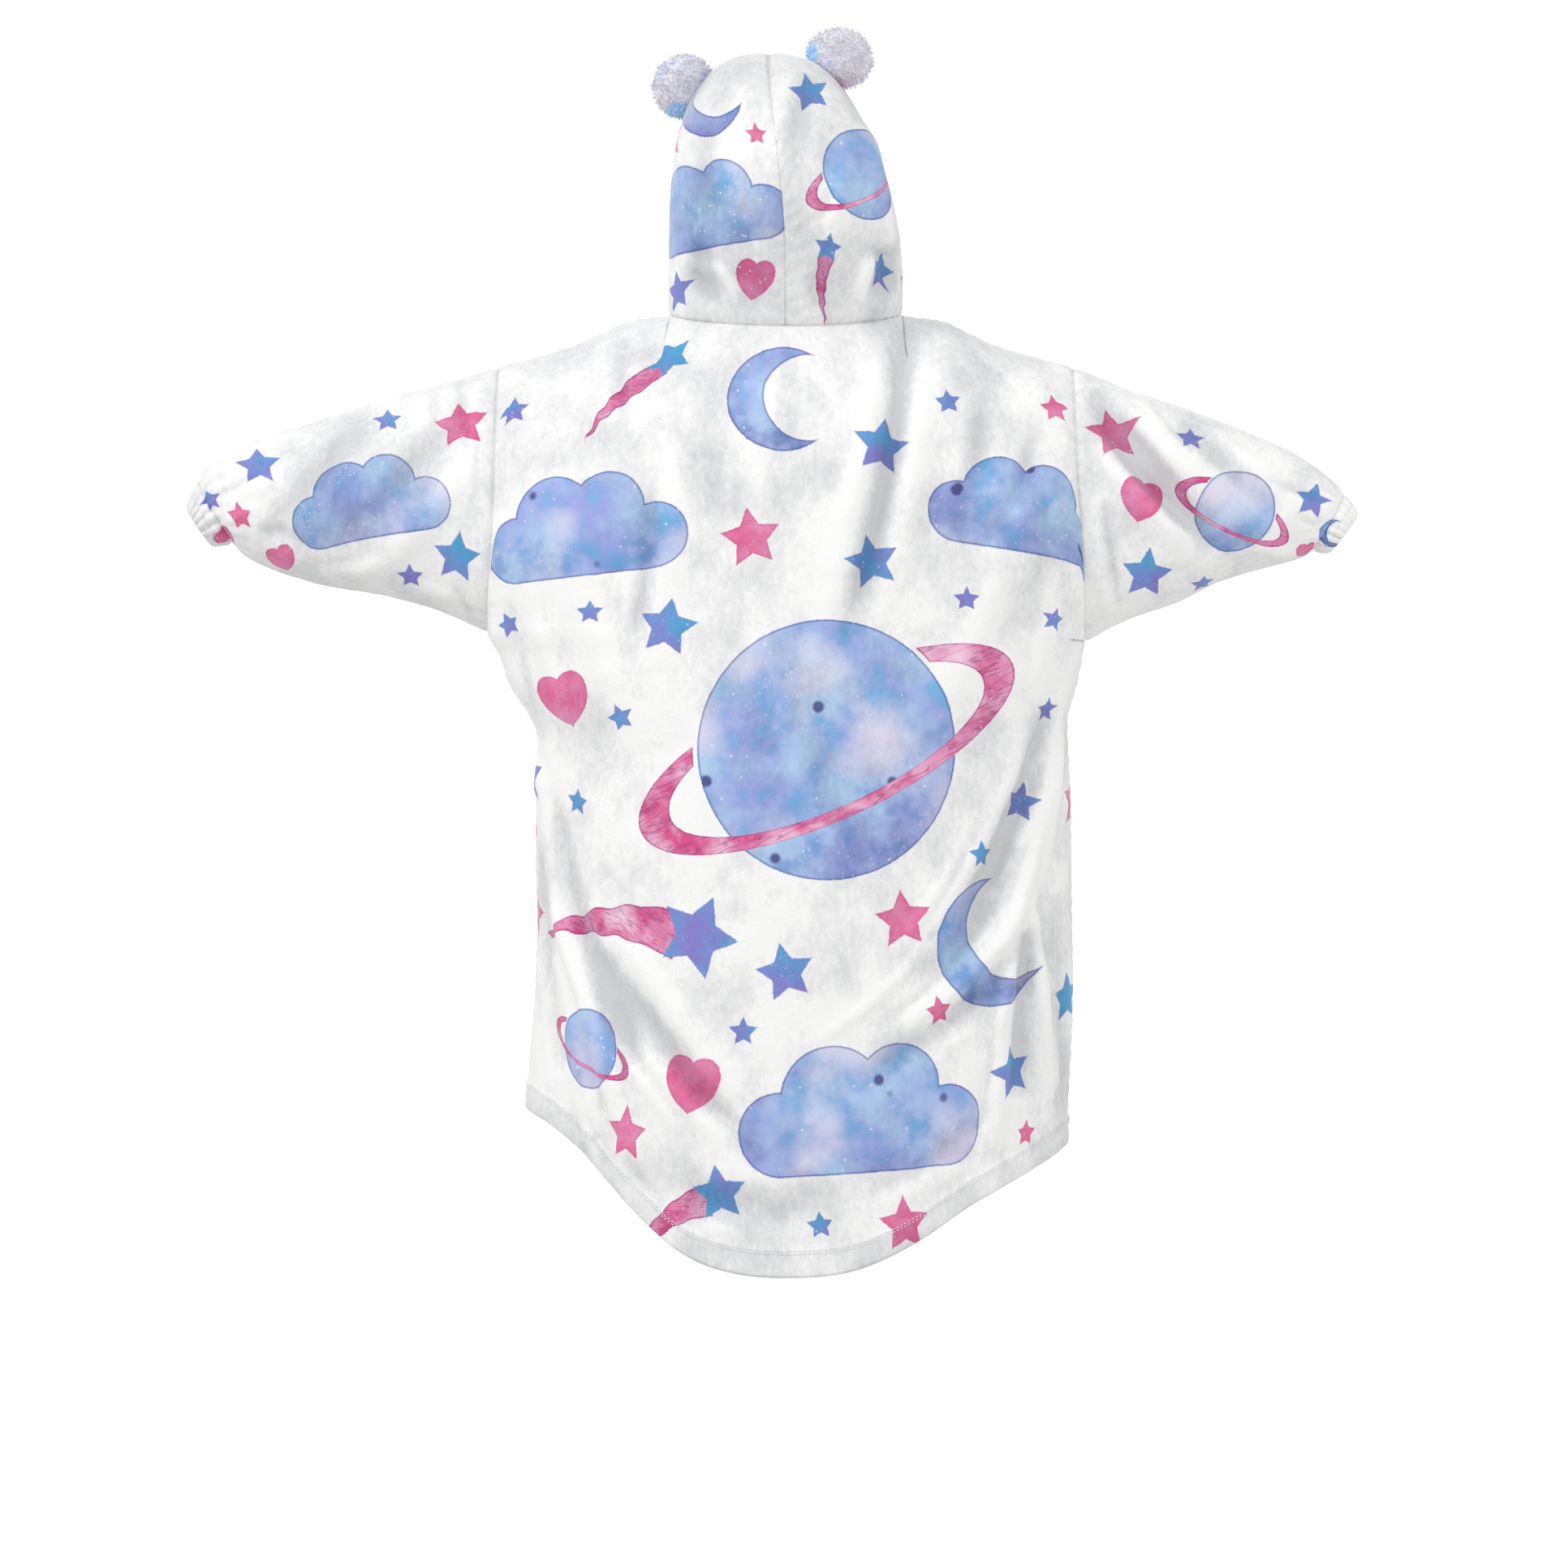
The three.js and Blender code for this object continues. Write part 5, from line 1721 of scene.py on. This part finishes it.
@dataclass(frozen=True)
class Plush:
    """Longer fluffy pile of the ears.

    Args:
        tip: The colour of the pile's tips.
        root: The colour deep in the pile.
        tint: The soft tint of the printed side.
        patch: The colour of the small blots of print at the ears' feet.
        patches: Where they lie: x, z and half their sizes, in metres.
    """

    tip: tuple = paint("e9e8ee")
    root: tuple = paint("cfccdc")
    tint: tuple = paint("cdd7f4")
    patch: tuple = paint("a9d2f5")
    patches: tuple = ((0.088, 0.176, 0.013, 0.009), (-0.020, 0.224, 0.008, 0.012))

    def build(self, name: str) -> bpy.types.Material:
        """Makes the material."""
        g = Graph(name)
        place = g.object_place()
        clump = g.noise(place, 130.0, 4.0, 0.65)
        hair = g.noise(place, 700.0, 2.0, 0.6)
        colour = g.mix(clump.ramp(0.42, 3.5), self.tip, self.root)
        wash = g.noise(place, 34.0, 2.0, 0.5)
        colour = g.mix(wash.ramp(0.5, 4.0), colour, self.tint)
        x, _, z = g.parts(place)
        for middle_x, middle_z, wide, tall in self.patches:
            away = ((x - middle_x) / wide) ** 2 + ((z - middle_z) / tall) ** 2
            colour = g.mix(((1.0 - away) * 2.0).share(), colour, self.patch)
        # Painted glints: small white spots over the ears.
        colour = g.mix(g.specks(place, 250.0, 0.5), colour, PURE_WHITE)
        g.set_shader({"Sheen Weight": 1.0, "Sheen Roughness": 0.5})
        return g.finish(colour, 0.9 - hair * 0.1, clump * 0.6 + hair * 0.4, 0.002, 0.5)


@dataclass(frozen=True)
class Thread:
    """White sewing thread."""

    colour: tuple = paint("f1f1f3")
    # The grey of the painted shade on the thread's plies.
    ply_shade: tuple = paint("c3c4cb")

    def build(self, name: str) -> bpy.types.Material:
        """Makes the material."""
        g = Graph(name)
        ply = g.noise(g.stretched(g.object_place(), (1.0, 1.0, 2.0)), 1500.0, 1.0, 0.5)
        # Painted shade on the plies, laid where the ply noise is high.
        colour = g.mix(ply.ramp(0.45, 4.0), self.colour, self.ply_shade)
        return g.finish(colour, 0.55 + ply * 0.2, ply, 0.0004, 0.5)


class GeometryTree(Nodes):
    """A Geometry Nodes tree built in the script.

    Args:
        name: The tree's name.
        inputs: The tree's own inputs, as name to (socket type, value).
    """

    def __init__(self, name: str, inputs: dict) -> None:
        """Makes the tree with its sockets."""
        self.tree = bpy.data.node_groups.new(name, "GeometryNodeTree")
        self.inputs = inputs
        face = self.tree.interface
        face.new_socket(name="Geometry", in_out="INPUT", socket_type="NodeSocketGeometry")
        self.identifiers = {}
        for label, (kind, _) in inputs.items():
            made = face.new_socket(name=label, in_out="INPUT", socket_type=kind)
            self.identifiers[label] = made.identifier
        face.new_socket(name="Geometry", in_out="OUTPUT", socket_type="NodeSocketGeometry")
        self.start = self.tree.nodes.new("NodeGroupInput")

    def given(self, name: str) -> bpy.types.NodeSocket:
        """Gives one of the tree's own inputs."""
        return self.start.outputs[name]

    def copies(self, points, instance, rotation, scale) -> bpy.types.NodeSocket:
        """Puts a turned and scaled copy of a mesh on each point."""
        sockets = {"Points": points, "Instance": instance, "Rotation": rotation, "Scale": scale}
        return self.node("GeometryNodeInstanceOnPoints", {}, sockets).outputs[0]

    def finish(self, geometry: bpy.types.NodeSocket, material: bpy.types.Material) -> None:
        """Ends the tree in Realize Instances and Set Material."""
        real = self.node("GeometryNodeRealizeInstances", {}, {0: geometry})
        sockets = {"Geometry": real.outputs[0], "Material": material}
        dressed = self.node("GeometryNodeSetMaterial", {}, sockets)
        out = self.tree.nodes.new("NodeGroupOutput")
        self.tree.links.new(dressed.outputs[0], out.inputs[0])

    def run(self, base: bpy.types.Object, name: str) -> bpy.types.Object:
        """Runs the tree on an object and keeps the result as a plain mesh.

        Args:
            base: The object that the tree reads.
            name: The name of the result.

        Returns:
            The new object.
        """
        modifier = base.modifiers.new("grow", "NODES")
        modifier.node_group = self.tree
        for label, (_, value) in self.inputs.items():
            modifier[self.identifiers[label]] = value
        depsgraph = bpy.context.evaluated_depsgraph_get()
        mesh = bpy.data.meshes.new_from_object(base.evaluated_get(depsgraph))
        base.modifiers.remove(modifier)
        return add_object(name, mesh)


@dataclass(frozen=True)
class StitchRun:
    """A row of stitches along a line on the cloth, in metres.

    Args:
        length: The length of one stitch.
        pitch: The distance from one stitch to the next.
        thick: The thread's thickness.
    """

    length: float = 0.0026
    pitch: float = 0.0036
    thick: float = 0.0008

    def tree(self, material: bpy.types.Material) -> GeometryTree:
        """Builds the tree that sews along the edges of a mesh."""
        g = GeometryTree(
            "stitches",
            {
                "Pitch": ("NodeSocketFloat", self.pitch),
                "Length": ("NodeSocketFloat", self.length),
                "Thickness": ("NodeSocketFloat", self.thick),
            },
        )
        line = g.node("GeometryNodeMeshToCurve", {}, {0: g.given("Geometry")})
        sockets = {"Curve": line.outputs[0], "Length": g.given("Pitch")}
        points = g.node("GeometryNodeResampleCurve", {"mode": "LENGTH"}, sockets)
        tangent = g.node("GeometryNodeInputTangent", {}, {})
        turned = g.node("FunctionNodeAlignRotationToVector", {"axis": "Z"}, {"Vector": tangent.outputs[0]})
        bead = g.node("GeometryNodeMeshUVSphere", {}, {"Segments": 6, "Rings": 4, "Radius": 0.5})
        sizes = {0: g.given("Thickness"), 1: g.given("Thickness"), 2: g.given("Length")}
        size = g.node("ShaderNodeCombineXYZ", {}, sizes)
        g.finish(g.copies(points.outputs[0], bead.outputs[0], turned.outputs[0], size.outputs[0]), material)
        return g

    def sew(self, name: str, lines: list, material: bpy.types.Material) -> bpy.types.Object:
        """Sews along lines of points.

        Args:
            name: The name of the piece.
            lines: Arrays of points in millimetres.
            material: The thread.

        Returns:
            The stitches as one mesh.
        """
        vertices, edges = [], []
        for line in lines:
            start = len(vertices)
            vertices += (line * MM).tolist()
            edges += [(start + k, start + k + 1) for k in range(len(line) - 1)]
        mesh = bpy.data.meshes.new(f"{name}_path")
        mesh.from_pydata(vertices, edges, [])
        path = add_object(f"{name}_path", mesh)
        made = self.tree(material).run(path, name)
        bpy.data.objects.remove(path)
        return made


@dataclass(frozen=True)
class Ear:
    """A stuffed plush ear, in millimetres.

    Args:
        node: The name of its node.
        x, y, z: Its middle.
        wide, thick, tall: Half its sizes.
        turn: Its turn about Y, in degrees.
        pile: The length of its pile.
        tufts: How many tufts of pile it has for each square metre.
        seed: The seed of the pile.
        segments, rings: Cells round the ball and from its top to its foot.
    """

    node: str
    x: float
    y: float
    z: float
    wide: float
    thick: float
    tall: float
    turn: float
    pile: float = 4.4
    tufts: float = 330000.0
    seed: int = 3
    segments: int = 56
    rings: int = 36

    def body(self) -> bpy.types.Object:
        """Builds the stuffed ball, a little lumpy and pinched where it is sewn on.

        Returns:
            The ball.
        """
        segments, rings = self.segments, self.rings
        u = np.linspace(0, 2 * np.pi, segments, endpoint=False)
        v = np.linspace(0, np.pi, rings + 1)[1:-1]
        uu, vv = np.meshgrid(u, v)
        ball = np.stack([np.sin(vv) * np.cos(uu), np.sin(vv) * np.sin(uu), np.cos(vv)], axis=2).reshape(-1, 3)
        ball = np.concatenate([ball, [[0, 0, 1.0], [0, 0, -1.0]]])
        across, up = ball[:, 0] * 60 + 20, ball[:, 2] * 60 + ball[:, 1] * 30
        lump = 1 + 0.03 * rough_field(across, up, 22.0, self.seed)
        inset = self.pile * 0.6
        size = np.array([self.wide - inset, self.thick - inset * 0.8, self.tall - inset])
        p = ball * size * lump[:, None]
        foot = smooth((-ball[:, 2] - 0.35) / 0.6)
        p[:, 1] *= 1 - 0.35 * foot
        a = math.radians(self.turn)
        x = p[:, 0] * math.cos(a) + p[:, 2] * math.sin(a)
        z = p[:, 2] * math.cos(a) - p[:, 0] * math.sin(a)
        points = np.stack([x + self.x, p[:, 1] + self.y, z + self.z], axis=1)
        around = [(j, (j + 1) % segments) for j in range(segments)]
        top, bottom = len(points) - 2, len(points) - 1
        last = (rings - 2) * segments
        faces = []
        for i in range(0, last, segments):
            faces += [(i + j, i + segments + j, i + segments + k, i + k) for j, k in around]
        for j, k in around:
            faces += [(top, j, k), (bottom, last + k, last + j)]
        mesh = bpy.data.meshes.new(f"{self.node}_body")
        mesh.from_pydata(points * MM, [], faces)
        mesh.polygons.foreach_set("use_smooth", [True] * len(mesh.polygons))
        return add_object(f"{self.node}_body", mesh)

    def fur(self, ball: bpy.types.Object, material: bpy.types.Material) -> bpy.types.Object:
        """Grows the pile on the ball.

        Args:
            ball: The stuffed ball.
            material: The pile's material.

        Returns:
            The pile as one mesh.
        """
        g = GeometryTree(
            f"{self.node}_pile",
            {
                "Density": ("NodeSocketFloat", self.tufts),
                "Pile Length": ("NodeSocketFloat", self.pile * MM),
                "Seed": ("NodeSocketInt", self.seed),
            },
        )
        spread = g.node(
            "GeometryNodeDistributePointsOnFaces",
            {"distribute_method": "RANDOM"},
            {"Mesh": g.given("Geometry"), "Density": g.given("Density"), "Seed": g.given("Seed")},
        )
        cone = {"Vertices": 3, "Radius Top": 0.02, "Radius Bottom": 0.13, "Depth": 1.0}
        tuft = g.node("GeometryNodeMeshCone", {"fill_type": "NONE"}, cone)
        turns = {0: (-0.75, -0.75, -3.1), 1: (0.75, 0.75, 3.1), "Seed": 5}
        tilt = g.node("FunctionNodeRandomValue", {"data_type": "FLOAT_VECTOR"}, turns)
        euler = g.node("FunctionNodeEulerToRotation", {}, {0: tilt.outputs[0]})
        turned = g.node(
            "FunctionNodeRotateRotation",
            {"rotation_space": "LOCAL"},
            {0: spread.outputs["Rotation"], 1: euler.outputs[0]},
        )
        length = g.node("FunctionNodeRandomValue", {"data_type": "FLOAT"}, {2: 0.55, 3: 1.1, "Seed": 9})
        lengths = {0: length.outputs[1], 1: g.given("Pile Length")}
        size = g.node("ShaderNodeMath", {"operation": "MULTIPLY"}, lengths)
        points, mesh = spread.outputs["Points"], tuft.outputs["Mesh"]
        g.finish(g.copies(points, mesh, turned.outputs[0], size.outputs[0]), material)
        return g.run(ball, f"{self.node}_pile")


@dataclass
class HoodedTop:
    """The whole garment.

    Args:
        cut: The rules that its panels are laid out by.
        pieces: The sheets as built, with their normals, by name.
        ears: The two ears.
        hem_lifts, face_lift, cuff_lift: How far the stitches stand out from the plain cloth, in millimetres.
        face_column: The column of a hood half that its stitches follow.
    """

    cut: Cut = field(default_factory=Cut)
    pieces: dict = field(default_factory=dict)
    hem_lifts: tuple = (1.35, 1.5)
    face_lift: float = 1.1
    cuff_lift: float = 0.1
    face_column: int = -8
    ears: tuple = (
        Ear("ear_left", 84, -4, 198, 29, 15, 28, 42, seed=3),
        Ear("ear_right", -45, -4, 222, 29.5, 15, 27, -24, seed=4),
    )

    def cloth(self, materials: dict) -> None:
        """Builds every cloth piece.

        Args:
            materials: The finishes by name.
        """
        back, front = self.cut.panel(Side.BACK), self.cut.panel(Side.FRONT)
        self.cut.join_sides(back, front)
        sheets = [back, front]
        for hand in Hand:
            sheets += SleeveCut(self.cut, hand).sheets(back, front)
            sheets.append(HoodCut(self.cut, hand).sheet(back, front))
        sewing = Sewing(sheets)
        sewing.drape()
        maker = ShellMaker(self.cut.cloth)
        for sheet, normals in zip(sheets, sewing.normals()):
            made = maker.mesh(sheet, normals)
            cuff = sheet.name.startswith("cuff")
            made.data.materials.append(materials["cuff" if cuff else "printed"])
            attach(made, BODY)
            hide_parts(sheet.name)
            self.declare(sheet)
            self.pieces[sheet.name] = (sheet, normals)
            log.info("%s: %d faces", made.name, len(made.data.polygons))

    def declare(self, sheet: Sheet) -> None:
        """Works out the area of a cloth piece's cells, and keeps nothing.

        Args:
            sheet: Its sheet.
        """
        p = sheet.closed_points
        a, b, c, d = cell_corners(p)
        area = 0.5 * np.linalg.norm(np.cross(c - a, d - b), axis=2).sum() * MM * MM

    def outer_line(self, points: np.ndarray, normals: np.ndarray, lift: float) -> np.ndarray:
        """Lifts a line of points to the outside of the cloth."""
        return points + normals * (self.cut.cloth / 2 + lift)

    def stitches(self, materials: dict) -> None:
        """Sews the hems, the edges of the face opening and the cuffs.

        Args:
            materials: The finishes by name.
        """
        thread = materials["thread"]
        first = self.cut.armhole_rows + self.cut.skirt_rows + 1
        for name in ("back_panel", "front_panel"):
            sheet, normals = self.pieces[name]
            lines = []
            for row, lift in enumerate(self.hem_lifts, first):
                lines.append(self.outer_line(sheet.points[row, 2:-2], normals[row, 2:-2], lift))
            self.place(StitchRun().sew(f"{name}_hem_stitches", lines, thread))
        for hand in Hand:
            name, column = f"hood_{hand.name.lower()}", self.face_column
            sheet, normals = self.pieces[name]
            lines = [self.outer_line(sheet.points[2:-1, column], normals[2:-1, column], self.face_lift)]
            self.place(StitchRun().sew(f"{name}_face_stitches", lines, thread))
            name = f"cuff_{hand.name.lower()}"
            sheet, normals = self.pieces[name]
            row = sheet.points.shape[0] // 2
            ring = self.outer_line(sheet.points[row], normals[row], self.cuff_lift)
            ring = np.concatenate([ring, ring[:1]])
            self.place(StitchRun().sew(f"{name}_elastic_stitches", [ring], thread))

    def place(self, made: bpy.types.Object, slot: str = "printed_fleece") -> None:
        """Lets a small piece ride on the garment."""
        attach(made, BODY)
        log.info("%s: %d faces", made.name, len(made.data.polygons))

    def plush_ears(self, materials: dict) -> None:
        """Builds both ears.

        Args:
            materials: The finishes by name.
        """
        for ear in self.ears:
            ball = ear.body()
            pile = ear.fur(ball, materials["plush"])
            ball.data.materials.append(materials["plush"])
            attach(ball, BODY)
            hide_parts(ear.node)
            self.place(pile, "ear_plush")


@dataclass(frozen=True)
class Studio:
    """The floor, backdrop, lights and camera, in metres.

    Args:
        floor_z: The height of the floor.
        distance: How far the camera is from the wearer.
        eye_x, eye_z: How far to the left and how high the camera stands.
        view_width: The width that the frame covers at the wearer.
        pale: The colour of the paper.
        wall_distance: How far the wall stands behind the wearer.
        wall_reach: Half its width, as a multiple of that.
        bend, bend_steps: The radius and the cells of the sweep from the floor to the wall.
        glow: The strength of the paper's own light, which keeps it white and doesn't reach the garment.
        daylight: The strength of the even light from all round.
    """

    floor_z: float = -1.008
    distance: float = 4.5
    eye_z: float = -0.3815
    eye_x: float = 0.0013
    view_width: float = 1.302
    pale: tuple = (0.93, 0.93, 0.935, 1.0)
    wall_distance: float = 9.0
    wall_reach: float = 1.6
    bend: float = 1.6
    bend_steps: int = 16
    glow: float = 0.9
    daylight: float = 0.67

    def backdrop(self) -> None:
        """Builds the floor and the wall as one sweep."""
        bend, steps = self.bend, self.bend_steps
        wall = bend - self.wall_distance
        profile = [(self.wall_distance, 0.0), (wall, 0.0)]
        for k in range(1, steps + 1):
            a = k / steps * math.pi / 2
            profile.append((wall - bend * math.sin(a), bend * (1 - math.cos(a))))
        profile.append((-self.wall_distance, self.wall_distance))
        reach = self.wall_reach * self.wall_distance
        vertices = [(x, y, z + self.floor_z) for y, z in profile for x in (-reach, reach)]
        faces = [(2 * k, 2 * k + 1, 2 * k + 3, 2 * k + 2) for k in range(len(profile) - 1)]
        mesh = bpy.data.meshes.new("backdrop")
        mesh.from_pydata(vertices, [], faces)
        mesh.polygons.foreach_set("use_smooth", [True] * len(mesh.polygons))
        made = add_object("backdrop", mesh)
        g = Graph("pale_paper")
        g.set_shader({"Base Color": self.pale, "Roughness": 0.95, "Specular IOR Level": 0.0})
        g.set_shader({"Emission Color": PURE_WHITE, "Emission Strength": self.glow})
        mesh.materials.append(g.material)
        made.visible_diffuse = False
        made.visible_glossy = False

    def light(self, name: str, place: tuple, aim: tuple, size: float, power: float) -> None:
        """Adds one soft light.

        Args:
            name: Its name.
            place: Where it stands.
            aim: Where it points.
            size: The side of its square.
            power: Its power in watts.
        """
        lamp = bpy.data.lights.new(name, "AREA")
        lamp.shape = "SQUARE"
        lamp.size = size
        lamp.energy = power
        made = add_object(name, lamp)
        made.location = place
        gap = [b - a for a, b in zip(place, aim)]
        flat = math.hypot(gap[0], gap[1])
        made.rotation_euler = (math.atan2(flat, -gap[2]), 0.0, math.atan2(gap[1], gap[0]) - math.pi / 2)

    def build(self) -> None:
        """Sets up the stage, the lights and the camera."""
        self.backdrop()
        middle = (0.0, 0.0, -0.3)
        self.light("key", (2.7, 1.8, 1.5), middle, 1.3, 52.0)
        self.light("fill", (-2.6, 2.6, 0.3), middle, 2.4, 34.0)
        self.light("top", (0.0, 0.9, 2.3), middle, 1.8, 8.0)
        self.light("front", (0.4, -2.3, 0.6), middle, 2.0, 26.0)
        scene = bpy.context.scene
        world = bpy.data.worlds.new("studio")
        world.use_nodes = True
        sky = world.node_tree.nodes["Background"]
        sky.inputs[0].default_value, sky.inputs[1].default_value = PURE_WHITE, self.daylight
        scene.world = world
        scene.view_settings.view_transform = "Standard"
        camera = bpy.data.cameras.new("photo_camera")
        camera.sensor_width = 36.0
        camera.lens = camera.sensor_width * self.distance / self.view_width
        made = add_object("photo_camera", camera)
        made.location = (self.eye_x, self.distance, self.eye_z)
        made.rotation_euler = (math.pi / 2, 0.0, math.pi)
        scene.camera = made


def main() -> None:
    """Builds the garment and the stage."""
    logging.basicConfig(level=logging.INFO, format="%(message)s")
    fleece = Fleece()
    materials = {
        "printed": fleece.build("printed_fleece"),
        "cuff": fleece.build("cuff_fleece"),
        "plush": Plush().build("ear_plush"),
        "thread": Thread().build("sewing_thread"),
    }
    top = HoodedTop()
    top.cloth(materials)
    top.stitches(materials)
    top.plush_ears(materials)
    Studio().build()


if __name__ == "__main__":
    main()
